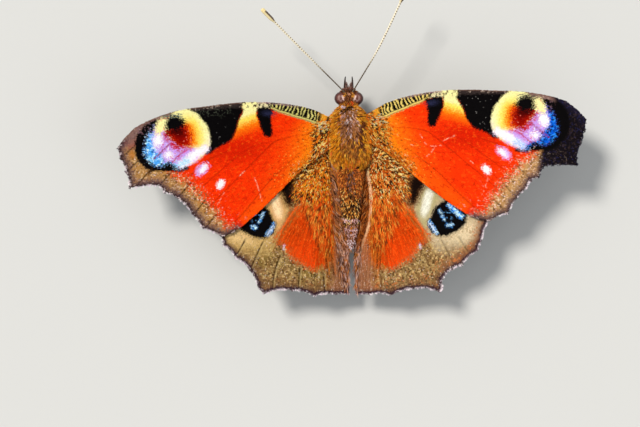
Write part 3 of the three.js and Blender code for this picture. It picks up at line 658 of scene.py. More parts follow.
def hindwing_red(paint, wide, thin):
    """Red field, streaked along the fan, olive and orange towards its edges. Returns where it lies."""
    u, v, grain = paint.places()
    red = [(4.6, 7.9), (5.7, 9.0), (6.7, 10.2), (7.6, 11.4), (8.4, 12.7), (8.4, 13.6), (7.3, 14.5),
           (6.6, 15.5), (6.1, 16.1), (5.1, 16.75), (4.2, 17.3), (3.1, 17.8), (1.5, 17.6), (0.7, 16.4),
           (0.7, 14), (0.9, 12), (1.3, 9), (2.6, 7.6)]
    field = depth_inside(u, v, ring(red), 2.5)
    red_cover = paint.edge(field, 0.5, 0.5)
    paint.lay(red_cover, tone(210, 62, 4))
    paint.lay(red_cover * 0.55 * ramp(wide, 0.0, 0.8), tone(182, 50, 4))
    paint.lay(red_cover * 0.5 * ramp(thin, 0.0, 0.5), tone(176, 60, 8))
    paint.lay(red_cover * 0.55 * ramp(-thin, 0.1, 0.6), tone(242, 88, 12))
    paint.lay(red_cover * 0.6 * ramp(1.6 - field + 0.7 * grain, 0, 1.4) * ramp(u, 3.2, 5.0),
              tone(206, 92, 22))
    paint.lay_flecks(0.8 * red_cover, 0.12, 0.7, 54, 0.34, tone(150, 54, 8))
    paint.lay_flecks(0.7 * red_cover, 0.12, 0.4, 53, 0.26, tone(244, 118, 36))
    paint.lay_flecks(0.85 * red_cover * ramp(1.7 - field, 0, 1.2), 0.13, 0.3, 55, 0.4, tone(160, 108, 44))
    near_red = ramp(field, -1.0, 0.2) * (1 - red_cover) * ramp(u, 3.0, 5.0)
    paint.lay_specks(0.9 * near_red, 0.14, 74, 0.34, tone(226, 88, 24))
    paint.lay(red_cover * 0.55 * ramp(v + 0.6 * grain, 12.5, 15.5) * ramp(u, 2.4, 3.6), tone(240, 66, 6))
    border = [(4.4, 7.9), (5.4, 9.0), (6.3, 10.1), (7.1, 11.3), (7.9, 12.6), (8.5, 13.7), (9.0, 14.9)]
    across, _ = path_distance(u, v, spline(border, 24))
    paint.lay_flecks(0.8 * (field < 1.0) * ramp(0.9 - across, 0, 0.8), 0.17, 0.3, 60, 0.4, tone(150, 92, 40))
    paint.line(border[:5], 0.2, tone(240, 96, 22), 0.9, 0.1, 0.15)
    paint.line(border[4:], 0.15, tone(206, 168, 92), 0.6, 0.12, 0.15)
    return red_cover


def inner_streaks(paint, wide, thin):
    """Inner third: orange and brown streaks with gold specks, greyer towards the rear."""
    u, v, grain = paint.places()
    inner_reach = np.interp(v, (7, 10, 14, 17), paint.by_side((4.6, 4.0, 2.9, 2.2), (4.9, 4.6, 2.9, 2.6)))
    inner_side = ramp(inner_reach - u + 0.9 * wide + 0.4 * grain, 0, 1.3)
    inner_side = inner_side * (1 - ramp(v + 0.8 * wide + 0.3 * grain, 15.6, 18.0) * 0.85)
    paint.lay(inner_side, tone(196, 90, 18))
    paint.lay(inner_side * ramp(wide, 0.0, 0.4) * 0.35, tone(150, 72, 18))
    calm = 1 - 0.5 * ramp(v, 11, 14)
    paint.lay(inner_side * ramp(thin, 0.0, 0.3) * 0.8 * calm, tone(104, 48, 12))
    paint.lay(inner_side * ramp(-thin, 0.1, 0.4) * 0.8 * calm, tone(226, 118, 32))
    paint.lay_flecks(inner_side, 0.12, 1.0, 56, 0.26, tone(80, 36, 10))
    paint.lay_flecks(inner_side * ramp(19.0 - v, 0, 9), 0.12, 0.22, 57, 0.26, tone(246, 178, 84))
    tail = ramp(0.5 + 0.12 * (v - 14) - u + 0.2 * grain, 0, 0.9) * ramp(v + 0.4 * grain, 12.0, 15.0)
    paint.lay(tail * 0.65, tone(158, 104, 74))
    paint.lay(tail * ramp(thin, 0.0, 0.4) * 0.4, tone(112, 66, 44))
    paint.lay_specks(0.6 * tail, 0.12, 68, 0.2, tone(208, 164, 138))
    for furrow in HIND_FURROWS[paint.side]:
        beside = [(place[0] - 0.24, place[1]) for place in furrow]
        paint.line(beside, 0.2, tone(228, 112, 28), 0.4, 0.12, 0.16, fade=2.0)
        paint.line(furrow, 0.17, tone(74, 34, 10), 0.8, 0.12, 0.14, fade=2.0)


def hindwing_base(paint):
    """Gold and cream flecks on dark brown."""
    u, v, grain = paint.places()
    base = ramp(9.3 - v - 0.3 * np.abs(u - 3.4) + 0.6 * grain, 0, 2.6) * ramp(6.9 - u + 0.3 * grain, 0, 1.0)
    paint.lay(base, tone(112, 60, 20))
    paint.lay_flecks(base, 0.18, 0.5, 61, 0.36, tone(214, 104, 24))
    paint.lay_flecks(base, 0.15, 0.36, 62, 0.3, tone(36, 18, 8))
    paint.lay_flecks(base, 0.14, 0.34, 63, 0.34, paint.by_side(tone(246, 180, 70), tone(240, 192, 100)))
    paint.lay_flecks(base, 0.14, 0.3, 64, paint.by_side(0.14, 0.2), tone(252, 230, 160))


def cream_patch(paint):
    """Pale patch and the dark spot beside it."""
    u, v, grain = paint.places()
    cream = [(7.5, 7.2), (8.0, 6.4), (8.9, 6.4), (10.2, 7.6), (9.6, 8.7), (9.2, 9.6), (8.75, 10.6),
             (8.4, 11.3), (8.3, 12.2), (7.9, 11.9), (7.3, 10.9), (6.95, 9.8), (6.9, 9.0), (7.2, 8.2)]
    cream_depth = depth_inside(u, v, ring(cream))
    silk = clouds(u + v, 0.3 * (u - v), 0.25, 58)
    paint.lay(ramp(cream_depth + 0.2 * grain, -0.35, 0.3),
              paint.by_side(tone(216, 168, 106), tone(186, 172, 122)))
    light = ramp(cream_depth + 0.2 * grain, 0.0, 0.8) * ramp(11.4 - v, 0, 1.8)
    shaft, _ = path_distance(u, v, spline([(9.1, 6.3), (8.6, 7.6), (8.2, 9.2), (8.0, 10.6)], 8))
    light = light * ramp(1.0 - shaft + 0.15 * grain, 0, 0.8)
    paint.lay(light, paint.by_side(tone(255, 226, 178), tone(240, 238, 222)))
    paint.lay(light * ramp(silk + 0.4 * grain, 0.2, 0.9) * 0.5,
              paint.by_side(tone(214, 160, 104), tone(190, 184, 160)))
    dark = [(6.15, 5.5), (6.8, 4.8), (7.6, 5.2), (8.0, 6.1), (7.5, 6.8), (7.2, 7.5), (6.9, 8.25),
            (6.4, 8.6), (6.05, 8.1), (6.05, 7.0)]
    dark_depth = depth_inside(u, v, ring(dark))
    paint.lay(0.85 * ramp(dark_depth + 0.35 * grain, -0.75, 0.1), tone(96, 48, 18))
    paint.lay(ramp(dark_depth + 0.3 * grain, -0.25, 0.35), tone(22, 10, 6))


def hindwing_eyespot(paint):
    """Black with a few bright streaks of blue scales. Returns where it lies."""
    u, v = paint.u, paint.v
    spot = [(10.4, 8.5), (11.8, 8.0), (13.2, 9.0), (13.8, 10.3), (13.75, 11.4), (13.1, 12.2), (12.1, 12.8),
            (11.1, 13.2), (10.1, 13.3), (9.35, 13.0), (8.75, 12.5), (8.5, 11.9), (8.4, 11.2), (8.9, 10.5),
            (9.15, 9.75), (9.6, 9.1)]
    spot_depth = paint.patch(spot, BLACK, 0.2, 0.2)
    in_spot = paint.edge(spot_depth - 0.2, 0.2, 0.2)
    spark = paint.specks(0.17, 73, 0.6)
    for path, width in SPOT_STREAKS:
        gap, _ = path_distance(u, v, spline(path, 12))
        streak = in_spot * paint.edge(width / 2 - gap, 0.14, 0.26)
        paint.lay(streak, tone(78, 164, 255))
        paint.lay_specks(0.85 * streak, 0.15, 72, 0.08, tone(10, 34, 74))
        paint.lay(streak * paint.edge(0.42 * width - gap, 0.12, 0.2) * spark, tone(206, 240, 255))
    paint.line([(8.8, 11.6), (9.2, 12.2), (9.5, 12.65)], 0.26, tone(216, 232, 255), in_spot, 0.2)
    loose = in_spot * ramp(1.2 - np.hypot(u - 11.3, v - 10.1), 0, 0.8)
    paint.lay_specks(loose, 0.17, 71, 0.2, tone(110, 180, 248))
    return in_spot


def gutter(paint):
    """Hair-covered gutter beside the body, with a lit fold on the right wing."""
    u, v, grain = paint.places()
    fold = spline(GUTTER_FOLD[paint.side], 30)
    near_fold, _ = path_distance(u, v, fold)
    gutter_edge = np.interp(v, fold[:, 1], fold[:, 0])
    cover = ramp(gutter_edge - u + 0.25 * grain, -0.15, 0.3)
    slant = clouds(2 * (u + 0.42 * v), 0.35 * v, 0.3, 75) + 0.3 * grain
    paint.lay(cover, paint.by_side(tone(156, 94, 56), tone(134, 66, 22)))
    paint.lay(cover * ramp(slant, 0.0, 0.5) * 0.8, tone(72, 40, 24))
    paint.lay(cover * ramp(-slant, 0.1, 0.6) * 0.8, paint.by_side(tone(186, 136, 106), tone(184, 110, 54)))
    paint.lay(cover * ramp(v, 14, 18) * 0.4, tone(170, 130, 110))
    if paint.side < 0:
        lit = ramp(v, 3.0, 6.0) * (1 - 0.75 * ramp(v, 10.5, 15.0))
        paint.lay(lit * ramp(0.16 - near_fold + 0.06 * grain, -0.1, 0.08), tone(236, 190, 144))


def hindwing_edge(paint, red_cover, in_spot):
    """Veins, dark edge line and pale fringe."""
    u, v, grain = paint.places()
    for vein in HIND_VEINS:
        # Painted highlight: a pale strip beside each raised vein, stronger on the left wing.
        beside = [(place[0] - 0.2, place[1]) for place in vein]
        paint.line(beside, 0.2, tone(214, 186, 124), paint.by_side(0.5, 0.2), 0.1, 0.14, fade=1.0)
        paint.line(vein, 0.17, UMBER, paint.by_side(0.9, 0.4), fade=1.0)
    paint.line([(7.3, 14.35), (7.4, 14.9)], 0.16, tone(214, 196, 226), 0.9, 0.15)
    edge = ramp(v + 0.75 * u, 16.5, 19.5) * ramp(u, -2.2, -1.4)
    paint.lay(edge * ramp(0.9 - paint.rim + 0.15 * grain, 0, 0.4) * 0.6, tone(84, 60, 58))
    paint.lay(edge * ramp(0.56 - paint.rim + 0.1 * grain, 0, 0.14) * 0.9, tone(48, 26, 40))
    hollows = 0.1 + 0.8 * ramp(clouds(u, v, 0.32, 77), -0.1, 0.2)
    paint.lay(edge * ramp(0.3 - paint.rim + 0.1 * grain, 0, 0.1) * hollows, tone(206, 188, 194))
    paint.lay_specks(0.6 * edge * (1 - in_spot) * (1 - red_cover), 0.14, 79, 0.04, tone(236, 220, 200))


def hindwing_colours(u, v, grain, side):
    """Upper side of a hindwing."""
    paint = Markings(u, v, grain, side, wing_outline(HINDWINGS[side]), STREAK_ROOTS["hindwing"])
    wide = paint.streaks(0.1, 5.0, 51)
    thin = paint.streaks(0.055, 6.0, 65)
    hindwing_ground(paint, thin)
    pale_ground(paint)
    red_cover = hindwing_red(paint, wide, thin)
    inner_streaks(paint, wide, thin)
    hindwing_base(paint)
    cream_patch(paint)
    in_spot = hindwing_eyespot(paint)
    gutter(paint)
    hindwing_edge(paint, red_cover, in_spot)
    return np.clip(paint.colour, 0, 1)


def underside_colours(u, v, grain, pose):
    """Both wings below: blackish brown with fine wavy lines."""
    paint = Markings(u, v, grain, pose["side"], wing_outline(pose["shape"]))
    rim = paint.rim
    paint.colour[:] = tone(44, 36, 34)
    reach = np.hypot(u + 1.0, 0.9 * v)
    waves = np.sin(reach * 8.5 + 2.2 * clouds(u, v, 1.1, 81) + 1.2 * clouds(u, v, 0.4, 82))
    paint.lay(0.75 * ramp(waves + 0.5 * grain, -0.1, 0.9), tone(18, 14, 15))
    paint.lay(0.5 * ramp(-waves + 0.5 * grain, 0.3, 1.0), tone(74, 62, 56))
    bands = np.sin(reach * 0.62 + 0.6 * clouds(u, v, 3.0, 83))
    paint.lay(0.55 * ramp(bands, 0.1, 0.9), tone(16, 12, 14))
    paint.lay(0.5 * ramp(4.2 - rim + 0.8 * clouds(u, v, 1.2, 84), 0, 1.2) * ramp(reach, 14, 20),
              tone(82, 70, 62))
    paint.lay(0.6 * ramp(0.5 - rim, 0, 0.3), tone(20, 16, 18))
    if pose["kind"] == "hindwing":
        paint.oval((8.4, 11.4), 0.28, 0.22, 0.3, tone(214, 206, 190), 0.2, 0.2)
    else:
        bars = np.sin(2 * np.pi * (u - 0.3 * v) / 0.6)
        costal = ramp(-0.9 - v - 0.09 * np.abs(u - 12), -0.3, 0.2) * ramp(14 - u, 0, 4)
        paint.lay(costal * ramp(bars, 0, 0.6) * 0.6, tone(150, 128, 84))
    return np.clip(paint.colour, 0, 1)


# Meshes: points in mm, triangles, a colour for each point and a bake patch for each tuft
PATCH_RADIUS = 0.0015           # of a tuft's place on the unwrap
PATCH_MARGIN = 0.002            # the patches keep this far from the unwrap's edge
NEARLY_UP = (0.13, 0.09, 1.0)   # a direction that no tube follows


def add_object(name, data):
    thing = bpy.data.objects.new(name, data)
    bpy.context.scene.collection.objects.link(thing)
    return thing


def full_turn(steps):
    """Angles in equal steps all the way round."""
    return np.arange(steps) * 2 * math.pi / steps


def make_piece(name, points, triangles, colours, material, smooth=False, places=None, tuft=0):
    """One mesh object. places holds each tuft's spot on the unwrap, tuft its number of points."""
    mesh = bpy.data.meshes.new(name)
    triangles = np.ascontiguousarray(triangles, np.int32)
    count = len(triangles)
    mesh.vertices.add(len(points))
    mesh.vertices.foreach_set("co", (np.asarray(points) * MM).astype(np.float32).ravel())
    mesh.loops.add(count * 3)
    mesh.loops.foreach_set("vertex_index", triangles.ravel())
    mesh.polygons.add(count)
    mesh.polygons.foreach_set("loop_start", np.arange(0, count * 3, 3, dtype=np.int32))
    mesh.polygons.foreach_set("use_smooth", np.full(count, smooth))
    mesh.update(calc_edges=True)
    layer = mesh.color_attributes.new(name="Markings", type="FLOAT_COLOR", domain="POINT")
    rgba = np.ones((len(points), 4), np.float32)
    rgba[:, :3] = colours
    layer.data.foreach_set("color", rgba.ravel())
    if places is not None:
        turn = full_turn(tuft)
        patch = PATCH_RADIUS * np.column_stack([np.cos(turn), np.sin(turn)])
        spots = np.clip(places, PATCH_MARGIN, 1 - PATCH_MARGIN)[:, None, :] + patch[None, :, :]
        bake = mesh.uv_layers.new(name="OFBake")
        bake.data.foreach_set("uv", spots.reshape(-1, 2)[triangles.ravel()].astype(np.float32).ravel())
    mesh.materials.append(material)
    return add_object(name, mesh)


def mount(piece, slot, *nodes):
    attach(piece, "root")
    if nodes:
        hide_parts(*nodes)
    return piece


def loft(rings):
    """Triangles over rings of equal length, given as (rows, count, 3), with a cap at each end."""
    rows, count = rings.shape[:2]
    i = np.arange(count)
    j = (i + 1) % count
    base = (np.arange(rows - 1) * count)[:, None]
    a, b = base + i, base + j
    walls = np.concatenate([np.stack([a, b, b + count], -1), np.stack([a, b + count, a + count], -1)])
    last = (rows - 1) * count
    middle = rows * count
    front = np.column_stack([np.full(count, middle), j, i])
    rear = np.column_stack([np.full(count, middle + 1), last + i, last + j])
    points = np.vstack([rings.reshape(-1, 3), rings[0].mean(0), rings[-1].mean(0)])
    return points, np.vstack([walls.reshape(-1, 3), front, rear])


def outward(points, triangles):
    """The triangles turned so that the closed body's faces point out."""
    a, b, c = (points[triangles[:, k]] for k in range(3))
    volume = np.einsum("ij,ij->i", a, np.cross(b, c)).sum()
    return triangles if volume > 0 else triangles[:, ::-1]


def join(parts):
    """Several (points, triangles, colours) as one."""
    points, triangles, colours, start = [], [], [], 0
    for some, faces, tint in parts:
        points.append(some)
        triangles.append(faces + start)
        colours.append(np.broadcast_to(tint, (len(some), 3)))
        start += len(some)
    return np.vstack(points), np.vstack(triangles), np.vstack(colours)


def unit(vectors):
    return vectors / np.maximum(np.linalg.norm(vectors, axis=-1, keepdims=True), 1e-9)


def around(turn, side, up):
    """Directions that turn from side towards up."""
    return np.cos(turn)[:, None] * side + np.sin(turn)[:, None] * up


def side_and_up(ahead):
    """Two directions square to the way ahead and to each other."""
    side = unit(np.cross(ahead, NEARLY_UP))
    return side, np.cross(side, ahead)


def interpolate(places, at, rows):
    """Rows that are given at some places, read off at others."""
    return np.column_stack([np.interp(places, at, column) for column in rows.T])


def run_along(line):
    """Length of a line up to each of its points."""
    return np.concatenate([[0], np.cumsum(np.linalg.norm(np.diff(line, axis=0), axis=1))])


def tube(path, radii, facets=12, across=None):
    """Closed round tube along a path, as points, triangles and the place of each point.

    across is a direction square to the whole path, for a path that coils.
    """
    ahead = unit(np.gradient(path, axis=0))
    if across is None:
        side, up = side_and_up(ahead)
    else:
        side = np.tile(across, (len(path), 1))
        up = np.cross(ahead, side)
    rings = around(full_turn(facets), side[:, None, :], up[:, None, :])
    points, triangles = loft(path[:, None, :] + np.asarray(radii)[:, None, None] * rings)
    share = np.repeat(np.linspace(0, 1, len(path)), facets)
    return points, outward(points, triangles), np.append(share, [0, 1])


# Materials
BUMP_DEPTH = 0.02               # mm between the low and high places of a surface's grain
GLOSS_SPREAD = 0.08             # how far the roughness strays to either side


def set_inputs(node, inputs):
    for name, value in inputs.items():
        node.inputs[name].default_value = value


def new_material(name, inputs):
    """A material and its shader, with the shader's inputs set."""
    material = bpy.data.materials.new(name)
    material.use_nodes = True
    shader = material.node_tree.nodes["Principled BSDF"]
    set_inputs(shader, inputs)
    return material, shader


def add_node(material, kind, inputs):
    node = material.node_tree.nodes.new(kind)
    set_inputs(node, inputs)
    return node


def make_material(name, roughness, specular, grain, grain_size, bump, coat):
    """The painted markings, with a fine grain in their brightness, gloss and relief."""
    material, shader = new_material(name, {"Specular IOR Level": specular, "Coat Weight": coat})
    links = material.node_tree.links
    paint = add_node(material, "ShaderNodeVertexColor", {})
    paint.layer_name = "Markings"
    where = add_node(material, "ShaderNodeTexCoord", {})
    noise = add_node(material, "ShaderNodeTexNoise", {"Scale": grain_size, "Detail": 4.0})
    spread = add_node(material, "ShaderNodeMapRange",
                      {"From Min": 0.3, "From Max": 0.7, "To Min": 1.0 - grain, "To Max": 1.0 + grain})
    tinted = add_node(material, "ShaderNodeVectorMath", {})
    tinted.operation = "SCALE"
    gloss = add_node(material, "ShaderNodeMapRange",
                     {"To Min": roughness - GLOSS_SPREAD, "To Max": roughness + GLOSS_SPREAD})
    bumps = add_node(material, "ShaderNodeBump", {"Strength": bump, "Distance": BUMP_DEPTH * MM})
    for start, outlet, end, inlet in (
            (where, "Object", noise, "Vector"), (noise, "Fac", spread, "Value"), (paint, "Color", tinted, 0),
            (spread, "Result", tinted, "Scale"), (tinted, "Vector", shader, "Base Color"),
            (noise, "Fac", gloss, "Value"), (gloss, "Result", shader, "Roughness"),
            (noise, "Fac", bumps, "Height"), (bumps, "Normal", shader, "Normal")):
        links.new(start.outputs[outlet], end.inputs[inlet])
    return material


# Wings in place
WING_ROOT_LEVEL = 6.9
WING_ROOT_REACH = 3.0
WING_SLOPE = 0.1
WING_ARCH = 0.65
WING_REACH = 32.5
WING_NOSE_UP = 0.018
GUTTER_DROP = 0.9
PLATE_STAGGER = 0.27            # the membranes lie this far above and below the common wing surface
VEIN_HEIGHT = 0.05
VEIN_WIDTH = 0.16
PLEAT_HEIGHT = 0.05
WAVE_HEIGHT = 0.07
MEMBRANE = 0.1                  # thickness of the skin of a wing at its margin
FRONT_EDGE = 0.22               # the front edge is this much thicker near the root
SKIN_STEP = 0.3                 # mm between the corners of the skin of a wing
ROW_STEP = 0.866                # distance of the rows of a triangular grid of spacing 1
FRINGE_DEPTH = 0.2              # the skin ends this far inside the outline
FRINGE_DENSITY = 44             # fringe scales for each mm of margin
POSES = {
    "forewing_left": {"kind": "forewing", "side": 1, "hinge": (3.0, -3.03), "turn": -2.47, "stagger": 1},
    "forewing_right": {"kind": "forewing", "side": -1, "hinge": (2.95, -3.77), "turn": 2.47, "stagger": 1},
    "hindwing_left": {"kind": "hindwing", "side": 1, "hinge": (2.2, 0.0), "turn": -0.9, "stagger": -1},
    "hindwing_right": {"kind": "hindwing", "side": -1, "hinge": (2.2, 0.0), "turn": 0.9, "stagger": -1},
}


for pose in POSES.values():
    pose["shape"] = (FOREWINGS if pose["kind"] == "forewing" else HINDWINGS)[pose["side"]]


def wing_veins(pose):
    return FORE_VEINS + FORE_MARGIN_VEINS if pose["kind"] == "forewing" else HIND_VEINS


def relief(pose, u, v):
    """Veins stand up, the skin between them sags, and shallow pleats fan out from the root."""
    height = np.zeros(u.shape)
    for vein in wing_veins(pose):
        gap, _ = path_distance(u, v, spline(vein, 2 * (len(vein) - 1)))
        height = np.maximum(height, np.exp(-(gap / VEIN_WIDTH) ** 2))
    du, dv = u - PLEAT_ROOT[0], v - PLEAT_ROOT[1]
    reach = np.hypot(du, dv)
    pleats = np.sin(17 * np.arctan2(dv, du) + 0.6) * ramp(reach, 4, 14)
    wave = clouds(u, v, 5.0, 91) * ramp(reach, 8, 20)
    return VEIN_HEIGHT * height + PLEAT_HEIGHT * pleats + WAVE_HEIGHT * wave


def on_wing(pose, u, v, lift=0.0):
    """Places in the wing's own plane to points in mm, lift above the middle of the membrane."""
    angle = math.radians(pose["turn"])
    out = pose["hinge"][0] + u * math.cos(angle) + v * math.sin(angle)
    y = pose["hinge"][1] - u * math.sin(angle) + v * math.cos(angle)
    beyond = out - WING_ROOT_REACH
    arch = WING_ARCH * np.sin(math.pi * np.maximum(beyond, 0) / (WING_REACH - WING_ROOT_REACH))
    z = WING_ROOT_LEVEL + WING_SLOPE * beyond + arch - WING_NOSE_UP * y
    z = z + pose["stagger"] * PLATE_STAGGER + lift
    if pose["stagger"] < 0:
        z = z - GUTTER_DROP * np.exp(-((out - 0.5) / 2.4) ** 2)
    return np.column_stack([pose["side"] * out, y, z])


def membrane_thickness(pose, u, v):
    """Thin at the margin, stout along the front edge near the root."""
    gap, _ = path_distance(u, v, spline(pose["shape"]["costa"], 16))
    stout = np.exp(-(gap / 0.5) ** 2) * ramp(24 - u, 0, 24)
    return MEMBRANE + FRONT_EDGE * stout


def even_steps(line, spacing):
    """The closed line again, with its points the spacing apart."""
    line = np.vstack([line, line[:1]])
    run = run_along(line)
    return interpolate(np.linspace(0, run[-1], int(run[-1] / spacing), endpoint=False), run, line)


def inset_line(line, inset):
    """The closed line moved inwards, without the points that a sharp corner would fold over."""
    ahead = unit(np.roll(line, -1, axis=0) - np.roll(line, 1, axis=0))
    inward = np.column_stack([-ahead[:, 1], ahead[:, 0]])
    moved = line + inset * inward
    if depth_inside(moved[:, 0], moved[:, 1], line).mean() < 0:
        moved = line - inset * inward
    return moved[depth_inside(moved[:, 0], moved[:, 1], line) > 0.9 * inset]


def spread_places(line, spacing, margin, rng, jitter=0.3):
    """Places inside a closed line, on a shaken triangular grid."""
    low, high = line.min(0), line.max(0)
    rows = np.arange(low[1], high[1], spacing * ROW_STEP)
    columns = np.arange(low[0], high[0] + spacing, spacing)
    v = np.repeat(rows, len(columns))
    u = np.tile(columns, len(rows)) + np.repeat((np.arange(len(rows)) % 2) * spacing / 2, len(columns))
    u = u + rng.uniform(-jitter, jitter, u.shape) * spacing
    v = v + rng.uniform(-jitter, jitter, v.shape) * spacing
    inside = depth_inside(u, v, line) > margin
    return u[inside], v[inside]


def wing_colours(pose, u, v, grain, upper):
    if not upper:
        return underside_colours(u, v, grain, pose)
    paint = forewing_colours if pose["kind"] == "forewing" else hindwing_colours
    return paint(u, v, grain, pose["side"])


def wing_skin(name, pose, material):
    line = even_steps(wing_outline(pose["shape"]), SKIN_STEP)
    rim = inset_line(line, FRINGE_DEPTH)
    rng = np.random.default_rng(5)
    u, v = spread_places(line, SKIN_STEP, FRINGE_DEPTH + 0.6 * SKIN_STEP, rng, 0.12)
    flat = [Vector(point) for point in rim] + [Vector(point) for point in zip(u, v)]
    flat, _, faces, _, _, _ = delaunay_2d_cdt(flat, [], [list(range(len(rim)))], 1, 1e-5)
    flat = np.array(flat)
    faces = np.array(faces)
    a, b, c = (flat[faces[:, k]] for k in range(3))
    area = (b[:, 0] - a[:, 0]) * (c[:, 1] - a[:, 1]) - (c[:, 0] - a[:, 0]) * (b[:, 1] - a[:, 1])
    faces[area < 0] = faces[area < 0][:, ::-1]
    if pose["side"] < 0:
        faces = faces[:, ::-1]
    u, v = flat[:, 0], flat[:, 1]
    half = membrane_thickness(pose, u, v) / 2
    bend = relief(pose, u, v)
    count = len(flat)
    points = np.vstack([on_wing(pose, u, v, bend + half), on_wing(pose, u, v, bend - half)])
    edges = np.vstack([faces[:, [0, 1]], faces[:, [1, 2]], faces[:, [2, 0]]])
    keys = {(int(p), int(q)) for p, q in edges}
    rims = np.array([(p, q) for p, q in keys if (q, p) not in keys])
    p, q = rims[:, 0], rims[:, 1]
    walls = np.vstack([np.column_stack([p, p + count, q + count]), np.column_stack([p, q + count, q])])
    triangles = np.vstack([faces, faces[:, ::-1] + count, walls])
    grain = np.zeros(count)
    colours = np.vstack([wing_colours(pose, u, v, grain, True), wing_colours(pose, u, v, grain, False)])
    piece = make_piece(f"{name}_skin", points, triangles, colours, material, smooth=True)
    return mount(piece, f"{name.split('_')[0]}_scales", name)


# Corners of a scale: root, left, right and tip, as shares of its length and width, and a rise in mm
SCALE_CORNERS = ((-0.45, 0, -0.01), (0.08, 0.5, 0.002), (0.08, -0.5, 0.002), (0.55, 0, 0.015))
SCALE_FACES = np.array([(0, 1, 3), (0, 3, 2), (0, 2, 1), (1, 2, 3)])
SCALE_PAINTED_SHADE = np.array([0.82, 1.0, 1.0, 1.06])      # the colour of each corner: darker at the root as painted shade under the scale before it, a little lighter at the tip as painted light


def repeated(faces, count, size):
    """The triangles of many like tufts of the given number of points."""
    return (faces[None] + size * np.arange(count)[:, None, None]).reshape(-1, 3)


def shaded(colours, shades):
    """The colour of each tuft, darker or lighter at each of its points as painted shade and light."""
    return np.clip(colours[:, None, :] * shades[None, :, None], 0, 1).reshape(-1, 3)


def scale_coat(name, pose, material, spacing, length, width, upper, seed):
    """Overlapping scales over one side of a wing, each a keeled kite that points away from the root."""
    rng = np.random.default_rng(seed)
    line = wing_outline(pose["shape"])
    u, v = spread_places(line, spacing, 0.1, rng)
    count = len(u)
    facing = 1 if upper else -1
    root = SCALE_ROOTS[pose["kind"]]
    stray = rng.normal(0, 0.16, count)
    if pose["kind"] == "hindwing":
        stray = rng.normal(0, 0.16, count)
    heading = np.arctan2(v - root[1], u - root[0]) + stray
    along = np.column_stack([np.cos(heading), np.sin(heading)])
    across = np.column_stack([-along[:, 1], along[:, 0]])
    size = rng.uniform(0.8, 1.2, count)
    reach = length * size
    wide = width * rng.uniform(0.8, 1.2, count)
    lean = rng.uniform(0.02, 0.055, count)
    grain = rng.uniform(-1, 1, count)
    place = np.column_stack([u, v])
    base = facing * (membrane_thickness(pose, u, v) / 2) + relief(pose, u, v)
    corners = []
    for step, aside, rise in SCALE_CORNERS:
        spot = place + step * reach[:, None] * along + aside * wide[:, None] * across
        tip = lean if step > 0.5 else 0
        corners.append(on_wing(pose, spot[:, 0], spot[:, 1], base + facing * (rise + tip)))
    points = np.stack(corners, 1).reshape(-1, 3)
    triangles = outward_tufts(points, repeated(SCALE_FACES, count, 4), 4)
    colours = wing_colours(pose, u, v, grain, upper) * rng.uniform(0.82, 1.14, (count, 1))
    colours = shaded(colours, SCALE_PAINTED_SHADE)
    low, high = line.min(0), line.max(0)
    places = (place - low) / (high - low)
    piece = make_piece(name, points, triangles, colours, material, places=places, tuft=4)
    return mount(piece, f"{pose['kind']}_scales")


def outward_tufts(points, triangles, size):
    """Turns the triangles of like tufts so that they face out, judged on the first tuft."""
    first = triangles[triangles[:, 0] < size]
    a, b, c = (points[first[:, k]] for k in range(3))
    middle = points[:size].mean(0)
    volume = np.einsum("ij,ij->i", a - middle, np.cross(b - middle, c - middle)).sum()
    return triangles if volume > 0 else triangles[:, ::-1]


# Body: the skin's half width, half height and middle height along the animal
BODY_TURN = 0.0183
BODY_PIVOT = 3.9
HEAD_FRONT = -7.42
BODY_TIP = 15.05
# Greatest half widths and half heights, each less the depth of the coat of hair on it
HEAD_WIDTH = 1.6 - 0.22
HEAD_HEIGHT = 1.35 - 0.22
THORAX_WIDTH = 3.3 - 0.5
THORAX_HEIGHT = 2.75 - 0.5
ABDOMEN_RADIUS = 2.1 - 0.3
NECK_WIDTH = 0.95
NECK_HEIGHT = 0.9
NECK_PLACE = -5.0
ABDOMEN_START = 3.15
ABDOMEN_LENGTH = 12.15
SEGMENTS = 8
SEGMENT_START = 3.3
SEGMENTED_LENGTH = 11.6
SMALL = 0.02                    # step along or round the body that gives the skin's directions
STEEPEST = 12                   # slope from which steeper skin gets no more hair
FACE_REACH = 1.04               # hair on the head's front reaches this far over the rim
BODY_LEVEL = 6.0                # height of the body's middle line
HEAD_DROP = 0.25
TIP_DROP = 0.4


def axis_x(y):
    return BODY_TURN * (BODY_PIVOT - y)


def bulge(y, middle, reach_front, reach_rear, power, blunt):
    reach = np.where(y < middle, reach_front, reach_rear)
    return np.maximum(1 - (np.abs(y - middle) / reach) ** power, 0) ** blunt


def outermost(*radii):
    """The largest of several radii, with a soft change from one to the next."""
    sharp = 9.0
    return (np.maximum(np.stack(radii), 0) ** sharp).sum(0) ** (1 / sharp)


